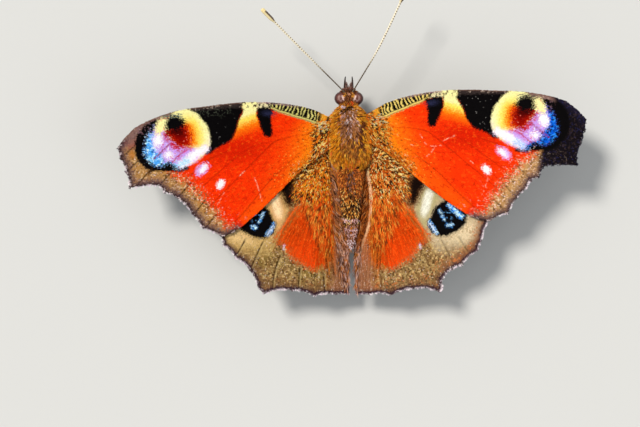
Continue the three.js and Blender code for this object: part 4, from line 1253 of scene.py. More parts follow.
def body_section(y):
    """Half width, half height and middle height of the skin."""
    y = np.asarray(y, float)
    head = bulge(y, -6.2, 1.4, 1.3, 2.6, 0.45)
    thorax = bulge(y, 0, 5.35, 3.8, 3.0, 0.435)
    share = np.clip((y - ABDOMEN_START) / ABDOMEN_LENGTH, 0, 1)
    taper = np.maximum(1 - share ** 1.35, 0) ** 0.72 * (y > 2.0)
    waist = 1 - 0.25 * np.exp(-((y - SEGMENT_START) / 0.5) ** 2)
    rings = np.clip((y - SEGMENT_START) / SEGMENTED_LENGTH, 0, 1) * SEGMENTS
    swell = (0.05 * np.abs(np.sin(math.pi * rings)) ** 0.6 - 0.03) * (y > SEGMENT_START)
    abdomen = ABDOMEN_RADIUS * taper * waist + swell
    neck = np.exp(-((y - NECK_PLACE) / 0.9) ** 4)
    half_width = outermost(HEAD_WIDTH * head, THORAX_WIDTH * thorax, abdomen, NECK_WIDTH * neck)
    half_height = outermost(HEAD_HEIGHT * head, THORAX_HEIGHT * thorax, 0.97 * abdomen, NECK_HEIGHT * neck)
    level = BODY_LEVEL - HEAD_DROP * (1 - ramp(y, -6.0, -4.4)) - TIP_DROP * share
    ends = ramp(BODY_TIP - y, -0.02, 0.35) ** 0.5
    return np.maximum(half_width * ends, 0.03), np.maximum(half_height * ends, 0.03), level


def body_point(y, turn, grow=0.0):
    """A point of the skin. turn is 0 on the left side and a quarter circle on the back."""
    half_width, half_height, level = body_section(y)
    x = axis_x(y) + (half_width + grow) * np.cos(turn)
    z = level + (half_height + grow) * np.sin(turn)
    return np.column_stack([x, np.broadcast_to(y, x.shape), z])


def body_frame(y, turn):
    """Point, rearward direction and outward direction at places on the skin."""
    here = body_point(y, turn)
    rear = unit(body_point(y + SMALL, turn) - here)
    round_about = unit(body_point(y, turn + SMALL) - here)
    return here, rear, unit(np.cross(rear, round_about))


def body_tint(y, turn):
    """Ground colour of the body: golden sides, greyish rose along the back, dark below."""
    grey = np.exp(-((turn - math.pi / 2) / 0.6) ** 2) * ramp(y, -4.6, -3.2) * ramp(2.6 - y, 0, 1.4)
    below = ramp(-np.sin(turn), 0.1, 0.7)
    tint = np.tile(tone(150, 92, 34), (len(y), 1))
    lay_over(tint, ramp(-5.2 - y, 0, 0.6), tone(96, 56, 32))
    lay_over(tint, ramp(y, 3.0, 3.6) * 0.8, tone(112, 62, 22))
    lay_over(tint, 0.75 * grey, tone(122, 84, 72))
    lay_over(tint, below, tone(46, 34, 28))
    return tint


def body_skin(material):
    spread = np.linspace(0, 1, 150)
    y = HEAD_FRONT + (BODY_TIP - HEAD_FRONT) * (0.5 - 0.5 * np.cos(math.pi * spread)) * 0.4
    y = y + (BODY_TIP - HEAD_FRONT) * spread * 0.6
    facets = 44
    turn = full_turn(facets)
    rings = np.stack([body_point(np.full(facets, place), turn) for place in y])
    points, triangles = loft(rings)
    flat_y = np.repeat(y, facets)
    colours = body_tint(flat_y, np.tile(turn, len(y)))
    colours = np.vstack([colours, colours[:1], colours[-1:]])
    piece = make_piece("body_skin", points, outward(points, triangles), colours, material, smooth=True)
    return mount(piece, "fur", "head", "prothorax", "thorax", "abdomen")


# Hair: bent spikes of five points each, root, three round the middle, tip
HAIR_FACES = np.array([(0, 1, 2), (0, 2, 3), (0, 3, 1), (4, 2, 1), (4, 3, 2), (4, 1, 3)])
# Painted shade at each hair's root among the others, and painted light at its tip
HAIR_PAINTED_SHADE = np.array([0.5, 0.92, 0.92, 1.0, 1.15])
ROOT_DEPTH = 0.03


def spikes(name, slot, material, roots, middles, tips, normal, width, colours, places):
    """Hairs given by their roots, bends and tips."""
    count = len(roots)
    width = np.broadcast_to(width, count)[:, None]
    side = unit(np.cross(tips - roots, normal))
    over = np.cross(side, unit(tips - roots))
    corners = np.stack([roots - ROOT_DEPTH * normal, middles + width / 2 * side, middles - width / 2 * side,
                        middles + width / 2 * over, tips], 1)
    points = corners.reshape(-1, 3)
    triangles = outward_tufts(points, repeated(HAIR_FACES, count, 5), 5)
    piece = make_piece(name, points, triangles, shaded(colours, HAIR_PAINTED_SHADE), material, places=places, tuft=5)
    return mount(piece, slot)


def hair(name, slot, material, roots, flow, normal, length, width, lift, bend, colours, places):
    """Single hairs. They start lifted off the flow and bend down towards it."""
    length, lift, bend = (np.broadcast_to(value, len(roots))[:, None] for value in (length, lift, bend))
    middles = roots + 0.45 * length * unit(flow * np.cos(lift) + normal * np.sin(lift))
    tips = middles + 0.55 * length * unit(flow * np.cos(lift - bend) + normal * np.sin(lift - bend))
    return spikes(name, slot, material, roots, middles, tips, normal, width, colours, places)


def tufts(name, slot, material, rng, strands, roots, flow, normal,
          length, width, lift, spread, colours, places):
    """Locks of several hairs that rise from a small patch of skin and draw together at the tip."""
    count = len(roots) * strands
    one = np.repeat(np.arange(len(roots)), strands)
    roots, flow, normal, colours, places = (row[one] for row in (roots, flow, normal, colours, places))
    length, lift = (np.broadcast_to(value, count // strands)[one][:, None] for value in (length, lift))
    aside = unit(np.cross(normal, flow))
    shift = spread * (rng.normal(0, 1, (count, 1)) * aside + rng.normal(0, 1, (count, 1)) * flow)
    reach = length * rng.uniform(0.75, 1.1, (count, 1))
    rise = unit(flow * np.cos(lift) + normal * np.sin(lift))
    starts = roots + shift
    tips = roots + 0.45 * shift + reach * rise + 0.06 * reach * rng.normal(0, 1, (count, 3))
    middles = 0.5 * (starts + tips) + 0.1 * reach * normal
    tint = np.clip(colours * rng.uniform(0.72, 1.25, (count, 1)), 0, 1)
    width = width * rng.uniform(0.7, 1.3, count)
    return spikes(name, slot, material, starts, middles, tips, normal, width, tint, places)


def body_hair(name, material, count, strands, front, rear, length, width, lift, spread, seed, comb, tint_at):
    """Locks of hair over a stretch of the body, evenly spread over its skin."""
    rng = np.random.default_rng(seed)
    y = rng.uniform(front, rear, count * 9)
    turn = rng.uniform(0, 2 * math.pi, count * 9)
    girth = sum(body_section(y)[:2])
    slope = (sum(body_section(y + SMALL)[:2]) - girth) / (2 * SMALL)
    area = girth * np.minimum(np.hypot(1, slope), STEEPEST)
    keep = rng.uniform(0, 1, len(y)) < area / np.quantile(area, 0.98)
    y, turn = y[keep][:count], turn[keep][:count]
    count = len(y)
    roots, back, normal = body_frame(y, turn)
    aside = unit(np.cross(normal, back)) * np.where(np.cos(turn) > 0, -1, 1)[:, None]
    swirl = (comb(y, np.abs(roots[:, 0] - axis_x(y))) + 0.3 * clouds(y, 3 * turn, 1.1, 95)
             + rng.normal(0, 0.15, count))
    flow = unit(back * np.cos(swirl)[:, None] + aside * np.sin(swirl)[:, None])
    size = length(y) * rng.uniform(0.7, 1.2, count)
    colours = tint_at(y, turn, roots[:, 0] - axis_x(y), rng) * rng.uniform(0.8, 1.2, (count, 1))
    places = np.column_stack([turn / (2 * math.pi), (y - front) / (rear - front)])
    return tufts(name, "fur", material, rng, strands, roots, flow, normal, size, width,
                 lift * rng.uniform(0.5, 1.5, count), spread, colours, places)


COLLAR_LINE = [(0.9, -4.35), (0.5, -4.55), (0.1, -4.8), (-0.3, -5.0)]
THORAX_SPOTS = [(-1.25, -3.7, 0.3), (1.4, 3.1, 0.34), (-1.3, 3.05, 0.3)]


def pick(rng, count, colours, shares):
    """A random colour for each of many hairs, from a few colours with their shares."""
    choice = rng.choice(len(colours), count, p=np.array(shares) / sum(shares))
    return np.array(colours)[choice]


def blend(rng, tint, other, share):
    """Some of the hairs changed to the other colours, or the one other colour, in the given share."""
    chosen = rng.uniform(0, 1, len(tint)) < share
    tint[chosen] = np.broadcast_to(other, tint.shape)[chosen]


def mix_in(rng, tint, colours, shares, share):
    """Some of the hairs changed to a few other colours, which have their own shares."""
    blend(rng, tint, pick(rng, len(tint), colours, shares), share)


def blend_collar(rng, tint, x, y):
    """Dark slanting line and a white fleck where head and thorax meet."""
    line = spline(COLLAR_LINE, 8)
    gap, _ = path_distance(x, y, line)
    mix_in(rng, tint, [tone(34, 18, 12), tone(84, 46, 28)], [3, 1], 0.95 * ramp(0.24 - gap, 0, 0.14))
    fleck = ramp(0.3 - np.hypot(x - 0.68, 1.5 * (y + 4.95)), 0, 0.1)
    blend(rng, tint, tone(238, 216, 224), 0.95 * fleck)


def face_hair(material):
    """Short locks on the flat front of the head, standing forward and fanned out."""
    rng = np.random.default_rng(18)
    count = 620
    turn = rng.uniform(0, 2 * math.pi, count)
    reach = FACE_REACH * np.sqrt(rng.uniform(0, 1, count))
    half_width, half_height, level = body_section(HEAD_FRONT)
    across = reach * half_width * np.cos(turn)
    up = reach * half_height * np.sin(turn)
    front = np.full(count, HEAD_FRONT)
    roots = np.column_stack([axis_x(HEAD_FRONT) + across, front, level + up])
    normal = np.tile([0.0, -1.0, 0.0], (count, 1))
    flow = unit(np.column_stack([0.7 * across, np.full(count, -0.25), up - 0.35])
                + rng.normal(0, 0.1, (count, 3)))
    colours = head_hair_tint(front, turn, across, rng) * rng.uniform(0.8, 1.2, (count, 1))
    mix_in(rng, colours, [tone(186, 146, 136), tone(150, 112, 104)], [1, 1], 0.4)
    places = np.column_stack([turn / (2 * math.pi), reach / FACE_REACH])
    tufts("face_hair", "fur", material, rng, 5, roots, flow, normal, rng.uniform(0.26, 0.42, count), 0.05,
          rng.uniform(0.5, 1.1, count), 0.05, colours, places)


def thorax_hair_tint(y, turn, x, rng):
    """Golden hair at the sides, rose brown and grey down the back, dark brown below."""
    count = len(y)
    tint = pick(rng, count, [tone(240, 160, 32), tone(222, 132, 18), tone(248, 184, 66), tone(164, 92, 20)],
                [4, 4, 2, 2])
    rusty = pick(rng, count, [tone(232, 116, 40), tone(214, 84, 28)], [2, 1])
    tint = tint * (1 - 0.16 * ramp(-1.5 - y, 0, 1.5) * ramp(np.abs(x), 0.9, 1.6))[:, None]
    tint = tint * (1 - 0.1 * ramp(y, 0.5, 1.5))[:, None]
    rust = 0.22 * ramp(np.abs(x), 1.8, 2.6) + 0.35 * ramp(y, 1.8, 3.0) * ramp(1.6 - np.abs(x), 0, 1)
    blend(rng, tint, rusty, rust)
    band = 1.05 + 0.35 * ramp(y, -4.2, -1.5) - np.abs(x) + 0.3 * clouds(x, y, 0.7, 94)
    middle = ramp(band, 0, 0.6) * ramp(y, -5.1, -4.4) * ramp(3.0 - y, 0, 2.2)
    greys = pick(rng, count, [tone(170, 110, 70), tone(200, 146, 116), tone(112, 64, 36), tone(184, 118, 54)],
                 [3, 2, 3, 3])
    browns = pick(rng, count, [tone(166, 104, 40), tone(200, 134, 52), tone(110, 62, 24), tone(180, 100, 34)],
                  [3, 3, 2, 2])
    greys = np.where((rng.uniform(-0.8, 0.8, count) + y > -0.5)[:, None], browns, greys)
    blend(rng, tint, greys, 0.95 * middle)
    flecks = pick(rng, count, [tone(236, 212, 208), tone(214, 170, 158)], [1, 2])
    front = ramp(-2.4 - y, 0, 0.8) * ramp(1.3 - np.abs(x), 0, 0.4)
    crest = ramp(0.3 - np.abs(x), 0, 0.2) * ramp(-0.4 - y, 0, 0.8) * ramp(y, -4.4, -3.4)
    blend(rng, tint, flecks, 0.16 * front + 0.5 * crest)
    blend_collar(rng, tint, x, y)
    # Painted shade on the right flank of the thorax, between the grey middle and the golden side.
    painted_shade = ramp(0.6 - np.abs(x + 1.45), 0, 0.5) * ramp(y, -3.8, -3.0) * ramp(1.4 - y, 0, 1.4)
    mix_in(rng, tint, [tone(104, 46, 18), tone(64, 30, 14)], [2, 1], 0.75 * painted_shade)
    for spot_x, spot_y, size in THORAX_SPOTS:
        blend(rng, tint, tone(52, 26, 10), 0.9 * ramp(size - np.hypot(x - spot_x, y - spot_y), 0, 0.12))
    below = ramp(-np.sin(turn), 0.15, 0.7)
    mix_in(rng, tint, [tone(70, 50, 38), tone(44, 32, 26)], [1, 1], below)
    return tint


def thorax_comb(y, aside):
    """Hair leans outwards in front and at the sides, and draws in again at the rear."""
    outwards = 0.75 * ramp(aside, 0.2, 2.2) * ramp(2.4 - y, 0, 3.0) + 0.35 * ramp(-1.5 - y, 0, 1.5)
    return outwards - 0.3 * ramp(y, 1.6, 3.2)


def thorax_hair_length(y):
    return 0.85 - 0.4 * ramp(-3.6 - y, 0, 1.1)


def abdomen_hair_tint(y, turn, x, rng):
    """Rust in front, gold and dark brown mottling behind, then pale lilac bands towards the tip."""
    count = len(y)
    tint = pick(rng, count, [tone(204, 108, 34), tone(168, 80, 22), tone(232, 146, 58), tone(104, 54, 20)],
                [4, 4, 2, 2])
    centre = ramp(0.75 - np.abs(x), 0, 0.5) * ramp(8.0 - y, 0, 3.0)
    mix_in(rng, tint, [tone(96, 58, 44), tone(150, 104, 84)], [2, 1], 0.7 * centre)
    mottled = (ramp(y + 0.6 * clouds(x, y, 0.5, 92), 5.4, 9.0) * ramp(12.6 - y, 0, 1.5)
               * ramp(1.8 - np.abs(x), 0, 0.5))
    gold = pick(rng, count, [tone(240, 160, 66), tone(84, 44, 14), tone(34, 20, 8), tone(250, 200, 120)],
                [4, 4, 4, 2])
    blend(rng, tint, gold, 0.92 * mottled)
    mix_in(rng, tint, [tone(178, 126, 104), tone(120, 78, 62)], [2, 1], 0.7 * ramp(y, 10.4, 12.4))
    for place in (10.9, 12.15, 13.0):
        band = np.exp(-((y - place) / 0.24) ** 2)
        mix_in(rng, tint, [tone(226, 186, 180), tone(206, 160, 160)], [1, 1], 0.85 * band)
    rear = ramp(y, 13.2, 14.0)
    mix_in(rng, tint, [tone(230, 204, 206), tone(176, 138, 134)], [2, 1], 0.9 * rear)
    side = ramp(np.abs(np.cos(turn)), 0.75, 1) * ramp(y, 5, 8)
    mix_in(rng, tint, [tone(120, 66, 30), tone(84, 44, 22)], [1, 1], 0.6 * side)
    below = ramp(-np.sin(turn), 0.1, 0.6)
    mix_in(rng, tint, [tone(64, 46, 36), tone(44, 32, 26)], [1, 1], below)
    return tint


def abdomen_comb(y, aside):
    return 0.15


def abdomen_hair_length(y):
    return 0.5 - 0.015 * (y - 3.3)


def head_hair_tint(y, turn, x, rng):
    """Red brown between the eyes, golden behind them, greyish on the face below."""
    count = len(y)
    tint = pick(rng, count, [tone(128, 70, 34), tone(84, 42, 22), tone(160, 100, 58)], [4, 3, 2])
    golden = pick(rng, count, [tone(204, 132, 44), tone(178, 106, 36), tone(122, 70, 28)], [3, 3, 2])
    blend(rng, tint, golden, ramp(y, -6.2, -5.5))
    orange = 0.6 * ramp(0.42 - np.hypot(x + 0.25, (y + 5.6) / 1.3), 0, 0.3)
    mix_in(rng, tint, [tone(228, 96, 26), tone(200, 70, 20)], [1, 1], 0.9 * orange)
    blend_collar(rng, tint, x, y)
    spot = ramp(0.27 - np.hypot(np.abs(x) - 0.52, y + 6.8), 0, 0.12)
    mix_in(rng, tint, [tone(232, 164, 66), tone(200, 130, 48)], [2, 1], 0.9 * spot)
    blend(rng, tint, tone(228, 164, 124), 0.8 * ramp(0.24 - np.hypot(x, y + 6.95), 0, 0.1))
    below = ramp(-np.sin(turn), 0.2, 0.7)
    mix_in(rng, tint, [tone(110, 90, 80), tone(70, 54, 46)], [1, 1], below)
    return tint


def head_comb(y, aside):
    return 0.5 * ramp(aside, 0.1, 0.8) * ramp(y, -6.4, -5.4)


def head_hair_length(y):
    return 0.4


# Hair on the wings, with the places, headings and lengths in the plane of the wing
def wing_spikes(name, pose, material, rng, u, v, angle, reach, width, rise, colours):
    """Hairs that lie over a wing from the places u, v in the directions given by angle."""
    count = len(u)
    du, dv = reach * np.cos(angle), reach * np.sin(angle)
    base = membrane_thickness(pose, u, v) / 2 + relief(pose, u, v)
    high = rise * rng.uniform(0.3, 1.3, count)
    roots = on_wing(pose, u, v, base)
    middles = on_wing(pose, u + 0.5 * du, v + 0.5 * dv, base + high)
    tips = on_wing(pose, u + du, v + dv, base + 0.8 * high)
    normal = np.tile([0.0, 0.0, 1.0], (count, 1))
    colours = np.clip(colours * rng.uniform(0.75, 1.25, (count, 1)), 0, 1)
    flat = np.column_stack([u, v])
    places = (flat - flat.min(0)) / (flat.max(0) - flat.min(0))
    slot = f"{pose['kind']}_scales"
    width = width * rng.uniform(0.7, 1.3, count)
    return spikes(name, slot, material, roots, middles, tips, normal, width, colours, places)


LOCK_WIDTH = 0.13               # hairs this close together on a wing have one tint
LOCK_LENGTH = 0.26


def wing_hair(name, pose, material, zone, spacing, thinning, heading, length, width, rise, seed, tint_at):
    """Hair over a zone of a wing, thinner towards the zone's edge."""
    rng = np.random.default_rng(seed)
    line = ring(zone)
    u, v = spread_places(line, spacing, 0.0, rng, 0.5)
    kept = rng.uniform(0, 1, len(u)) < 0.15 + ramp(depth_inside(u, v, line), 0, thinning)
    u, v = u[kept], v[kept]
    count = len(u)
    angle = heading(u, v) + 0.25 * clouds(u, v, 0.8, seed) + rng.normal(0, 0.14, count)
    reach = length(u, v) * rng.uniform(0.6, 1.3, count)
    locks = np.round(np.column_stack([u / LOCK_WIDTH, v / LOCK_LENGTH]))
    _, first, lock = np.unique(locks, axis=0, return_index=True, return_inverse=True)
    tint = tint_at(u, v, rng)[first][lock.ravel()]
    return wing_spikes(name, pose, material, rng, u, v, angle, reach, width, rise, tint)


def fringe(name, pose, material, seed):
    """Narrow scales that stand out along the outer margin, pale in the hollows and dark at the vein ends."""
    rng = np.random.default_rng(seed)
    line = hollow_margin(pose["shape"])
    count = int(FRINGE_DENSITY * run_along(line)[-1])
    place = rng.uniform(0, len(line) - 1, count)
    before = place.astype(int)
    along = line[before + 1] - line[before]
    spot = line[before] + (place - before)[:, None] * along
    outwards = np.column_stack([along[:, 1], -along[:, 0]])
    centre = np.array(pose["shape"]["centre"])
    outwards = outwards * np.sign(np.einsum("ij,ij->i", outwards, spot - centre))[:, None]
    angle = np.arctan2(outwards[:, 1], outwards[:, 0]) + rng.normal(0, 0.25, count)
    run = np.interp(place, np.arange(len(line)), run_along(line))
    clump = clouds(run, 0 * run, 0.3, seed) + 0.4 * clouds(run, 0 * run, 0.12, seed + 1)
    depth = rng.uniform(0.08, 0.32, count)
    reach = depth + rng.uniform(-0.05, 0.05, count) + 0.2 * ramp(clump, -0.3, 0.8)
    u = spot[:, 0] - depth * np.cos(angle)
    v = spot[:, 1] - depth * np.sin(angle)
    hollow = np.sin(np.pi * (place / 4 - np.floor(place / 4)))
    pale_share = 0.2 + 0.75 * ramp(hollow + 0.3 * clouds(u, v, 0.6, 86), 0.0, 0.4)
    pale_share = pale_share * (0.3 + 0.7 * ramp(clump, -0.3, 0.2))
    colours = pick(rng, count, [tone(52, 36, 40), tone(88, 62, 62)], [2, 1])
    pale = [tone(232, 216, 220), tone(196, 176, 194), tone(244, 238, 232)]
    mix_in(rng, colours, pale, [3, 2, 2], pale_share)
    # Painted shade: the fringe at the tip of the right forewing is darkened along with the shade painted over
    # that tip.
    if pose["kind"] == "forewing" and pose["side"] < 0:
        apex = ramp(u, 21.5, 23.5)
        mix_in(rng, colours, [tone(18, 16, 26), tone(42, 40, 66)], [3, 1], 0.95 * apex)
    return wing_spikes(name, pose, material, rng, u, v, angle, reach, 0.08, 0.02, colours)


FORE_BASE_ZONE = [(-0.6, -0.5), (0.6, -0.3), (1.6, 0.0), (2.3, 0.9), (2.7, 1.9), (2.4, 3.2), (2.8, 4.6),
                  (4.0, 6.4), (3.6, 6.4), (2.0, 5.2), (0.6, 4.2), (-0.6, 3.6)]
HIND_BASE_ZONE = [(0.5, 1.5), (2.4, 2.4), (4.4, 4.4), (6.0, 6.4), (6.1, 7.6), (4.8, 8.8), (4.0, 10.8),
                  (3.2, 12.8), (2.2, 14.4), (1.2, 14.8), (0.5, 14.0)]
GUTTER_ZONE = {
    1: [(0.8, 2.2), (0.75, 8), (0.5, 12), (0, 16), (-0.5, 19), (-1.3, 20.6), (-1.75, 19.5), (-1.75, 12),
        (-1.2, 6), (-0.4, 2.6)],
    -1: [(-0.1, 2.6), (0.35, 5.4), (0.5, 8.4), (0.25, 11.2), (-0.35, 13.1), (-0.8, 15.2), (-1.3, 20.6),
         (-1.75, 19.5), (-1.75, 12), (-1.2, 6), (-0.6, 3)],
}


def fore_base_heading(u, v):
    return np.arctan2(v + 0.6, u + 2.6)


def fore_base_length(u, v):
    return 0.5


def fore_base_tint(u, v, rng):
    count = len(u)
    tint = pick(rng, count, [tone(246, 130, 22), tone(248, 202, 96), tone(96, 48, 14), tone(30, 16, 8)],
                [5, 3, 3, 3])
    pale = pick(rng, count, [tone(206, 200, 164), tone(238, 222, 164)], [1, 1])
    blend(rng, tint, pale, 0.4 * ramp(1.2 - np.hypot(u - 0.8, v - 0.6), 0, 0.8))
    low = ramp(v - 0.7 * u, 1.6, 2.6)
    mix_in(rng, tint, [tone(250, 184, 70), tone(254, 226, 146), tone(50, 24, 8), tone(206, 98, 20)],
           [3, 2, 3, 4], low)
    return tint


def dark_fore_base_tint(u, v, rng):
    """The same a little darker, on the right wing."""
    return 0.88 * fore_base_tint(u, v, rng)


def hind_base_heading(u, v):
    return np.arctan2(v - 0.5, u - 0.9)


def hind_base_length(u, v):
    return 0.4 + 0.9 * ramp(v, 6.5, 9.5)


def hind_base_tint(u, v, rng):
    """Gold and orange with dark gaps, on the left wing."""
    count = len(u)
    tint = pick(rng, count, [tone(255, 160, 36), tone(255, 212, 120), tone(60, 26, 6), tone(232, 104, 14)],
                [6, 2, 3, 6])
    blend(rng, tint, hind_streak_tint(count, rng), ramp(v, 6.5, 9.0))
    return tint


def pale_hind_base_tint(u, v, rng):
    """Cream and gold with dark gaps, on the right wing."""
    count = len(u)
    tint = pick(rng, count, [tone(246, 160, 60), tone(255, 222, 148), tone(48, 24, 6), tone(214, 90, 12)],
                [4, 2, 3, 6])
    blend(rng, tint, hind_streak_tint(count, rng), ramp(v, 6.5, 9.0))
    return tint


def hind_streak_tint(count, rng):
    return pick(rng, count, [tone(214, 92, 14), tone(122, 54, 12), tone(238, 154, 56), tone(226, 80, 8)],
                [4, 3, 3, 2])


def gutter_heading(u, v):
    return 2.05 - 0.35 * ramp(v, 12, 18)


def gutter_length(u, v):
    return 1.2


def gutter_tint(u, v, rng):
    """Rose brown on the left wing."""
    count = len(u)
    tint = pick(rng, count, [tone(74, 38, 20), tone(172, 104, 66), tone(222, 172, 142), tone(206, 124, 52)],
                [3, 4, 2, 3])
    mix_in(rng, tint, [tone(206, 166, 152), tone(120, 78, 62)], [1, 1], 0.5 * ramp(v, 12, 16))
    return tint


def warm_gutter_tint(u, v, rng):
    """Orange brown on the right wing, rose brown towards the rear."""
    tint = pick(rng, len(u), [tone(78, 34, 10), tone(146, 68, 18), tone(190, 100, 32), tone(204, 136, 80)],
                [4, 4, 3, 1])
    blend(rng, tint, gutter_tint(u, v, rng), ramp(v, 12, 15))
    return tint


# Eyes: domes of many small facets
EYE_CENTRE = (1.05, -6.3, 5.85)
EYE_RADII = (1.0, 0.95, 1.12)


def eye(name, side, material):
    ball = bmesh.new()
    bmesh.ops.create_icosphere(ball, subdivisions=5, radius=1.0)
    round_points = np.array([tuple(corner.co) for corner in ball.verts])
    faces = np.array([[corner.index for corner in face.verts] for face in ball.faces])
    ball.free()
    x, y, z = round_points.T
    facets = 1.0 + 0.012 * np.sin(34 * np.arctan2(z, y)) * np.sin(40 * x)
    points = round_points * facets[:, None] * EYE_RADII
    points[:, 0] = side * points[:, 0]
    points = points + [axis_x(EYE_CENTRE[1]) + side * EYE_CENTRE[0], EYE_CENTRE[1], EYE_CENTRE[2]]
    rim = np.hypot(x, y)
    patchy = clouds(7 * x, 7 * y, 1.2, 97) + 0.4 * clouds(20 * x, 20 * y, 1.0, 98)
    tint = np.tile(tone(98, 46, 36), (len(points), 1))
    # Painted sheen: mottled grey pink over the top of the dome.
    lay_over(tint, 0.8 * ramp(patchy, -0.1, 0.6) * ramp(0.72 - rim, 0, 0.3), tone(158, 126, 116))
    lay_over(tint, 0.95 * ramp(rim, 0.64, 0.84), tone(56, 8, 8))
    # Painted highlight: a pale pink patch towards the inner side of the top.
    lay_over(tint, 0.95 * ramp(0.36 - np.hypot(x + 0.4, (y - 0.05) / 1.3) + 0.14 * patchy, 0, 0.14),
             tone(236, 202, 190))
    lay_over(tint, 0.7 * ramp(0.24 - np.hypot(x + 0.45, y - 0.55), 0, 0.14), tone(120, 40, 28))
    lay_over(tint, ramp(-z, -0.1, 0.7), tone(58, 34, 32))
    piece = make_piece(f"{name}_dome", points, outward(points, faces), tint, material)
    return mount(piece, "eye", name)


# Feelers: a dark foot, a ringed shaft and a club with a pale tip, with painted shade down one side of the
# rings and the club
ANTENNA_ROUTES = {
    "left": [(0.9, -7.0, 6.5), (1.2, -7.5, 6.85), (6.5, -12.6, 9.1), (12.4, -18.45, 10.6)],
    "right": [(-0.35, -7.0, 6.5), (-0.6, -7.6, 6.9), (-4.15, -13.6, 9.2), (-7.95, -21.65, 10.6)],
}
ANTENNA_RINGS = 46
SHAFT_RADIUS = 0.14
CLUB_RADIUS = 0.3
CLUB_START = 0.84
PAINTED_SHADE_SIDE = 0.4                 # turn round the shaft that is painted as its shaded side, where the rings and the club are darkest


def spline3(points, pieces):
    flat = spline([point[:2] for point in points], pieces)
    tall = spline([(point[2], 0) for point in points], pieces)
    return np.column_stack([flat, tall[:, 0]])


def antenna(name, route, material):
    steps = ANTENNA_RINGS * 6
    line = spline3(route, 400)
    run = run_along(line)
    share = np.linspace(0, 1, steps + 1)
    path = interpolate(share * run[-1], run, line)
    joint = share * ANTENNA_RINGS
    within = joint - np.floor(joint)
    radii = (SHAFT_RADIUS * (0.86 + 0.2 * np.sin(math.pi * within) ** 0.7)
             * (0.64 + 0.36 * ramp(share, 0.2, 0.55)))
    club = ramp(share, CLUB_START, CLUB_START + 0.055) * (CLUB_RADIUS - SHAFT_RADIUS)
    blunt = np.sqrt(np.clip((1 - share) / 0.014, 0.002, 1))
    radii = (radii + club * (0.93 + 0.09 * np.sin(math.pi * within))) * blunt
    radii = radii + 0.16 * np.exp(-(share / 0.018) ** 2) + 0.05 * np.exp(-((share - 0.035) / 0.012) ** 2)
    facets = 12
    points, triangles, place = tube(path, radii, facets)
    within = place * ANTENNA_RINGS - np.floor(place * ANTENNA_RINGS)
    turn = np.append(np.tile(full_turn(facets), steps + 1), [0, 0])
    facing_painted_shade = np.cos(turn - PAINTED_SHADE_SIDE)
    tint = np.tile(tone(240, 230, 202), (len(points), 1))
    # The rings are the feeler's own; that they are dark on the shaded side and only thinly pale on the other
    # is painted shade.
    tint[(within > 0.66) & (facing_painted_shade > 0.2)] = tone(96, 70, 56)
    tint[(within > 0.9) & (facing_painted_shade <= 0.2)] = tone(170, 148, 122)
    lay_over(tint, 0.9 * ramp(0.42 - place, 0, 0.2), tone(58, 36, 22))
    lay_over(tint, ramp(0.03 - place, 0, 0.01), tone(196, 130, 58))
    clubbed = ramp(place, CLUB_START, CLUB_START + 0.03)
    lay_over(tint, 0.9 * clubbed, tone(226, 208, 156))
    # Painted shade: a dark stripe down the shaded side of the club.
    lay_over(tint, 0.95 * clubbed * (facing_painted_shade > 0.45), tone(70, 46, 46))
    lay_over(tint, ramp(place, 0.96, 0.972), tone(238, 216, 156))
    piece = make_piece(f"{name}_rings", points, triangles, tint, material, smooth=True)
    return mount(piece, "antenna", name)


# Mouthparts
PALP_ROUTE = [(0.52, -6.9, 4.75), (0.56, -7.9, 4.95), (0.53, -8.75, 5.55), (0.48, -9.32, 6.25)]


def palp(name, side, skin, coat):
    head_x = axis_x(-7.65)
    route = [(head_x + side * x, y, z) for x, y, z in PALP_ROUTE]
    path = spline3(route, 26)
    share = np.linspace(0, 1, 27)
    radii = 0.15 * np.clip(1.03 - share, 0.02, 1) ** 0.6
    points, triangles, _ = tube(path, radii)
    piece = make_piece(f"{name}_skin", points, triangles, tone(60, 44, 42), skin, smooth=True)
    mount(piece, "mouthparts", name)
    rng = np.random.default_rng(21 + side)
    count = 1700
    at = 0.05 + 0.92 * rng.uniform(0, 1, count) ** 1.3
    turn = rng.uniform(0, 2 * math.pi, count)
    ahead = unit(np.gradient(path, axis=0))
    flow = unit(interpolate(at, share, ahead))
    normal = around(turn, *side_and_up(flow))
    roots = interpolate(at, share, path) + normal * np.interp(at, share, radii)[:, None]
    tint = pick(rng, count, [tone(74, 54, 48), tone(50, 36, 34), tone(120, 92, 84)], [3, 2, 1])
    inner = (side * normal[:, 0] < -0.1) & (at < 0.55)
    tint[inner] = pick(rng, count, [tone(176, 136, 126), tone(150, 110, 100), tone(206, 172, 158)],
                       [3, 2, 1])[inner]
    tint[at > 0.8] = tone(26, 20, 20)
    length = np.where(inner, 1.05 - 1.3 * at, 0.14) * rng.uniform(0.6, 1.2, count)
    lift = np.where(inner, 0.9, 0.3)
    places = np.column_stack([turn / (2 * math.pi), at])
    hair(f"{name}_hair", "mouthparts", coat, roots, flow, normal, length, 0.04, lift, 0.3, tint, places)


def proboscis(material):
    turns = 2.6
    steps = 150
    share = np.linspace(0, 1, steps)
    angle = -0.5 * math.pi + 2 * math.pi * turns * share
    radius = 0.64 - 0.5 * share
    head_x = axis_x(-7.65)
    path = np.column_stack([np.full(steps, head_x) + 0.02 * np.sin(9 * share), -7.45 + radius * np.cos(angle),
                            3.95 + radius * np.sin(angle)])
    lead = np.array([[head_x, -6.6, 4.7], [head_x, -6.9, 4.2]])
    path = np.vstack([lead, path])
    radii = (np.concatenate([[0.14, 0.13], 0.115 - 0.05 * share])
             * (1 + 0.06 * np.sin(np.arange(steps + 2) * 2.1)))
    points, triangles, _ = tube(path, radii, 10, across=(1.0, 0.0, 0.0))
    piece = make_piece("proboscis_coil", points, triangles, tone(64, 38, 24), material, smooth=True)
    return mount(piece, "mouthparts", "proboscis")


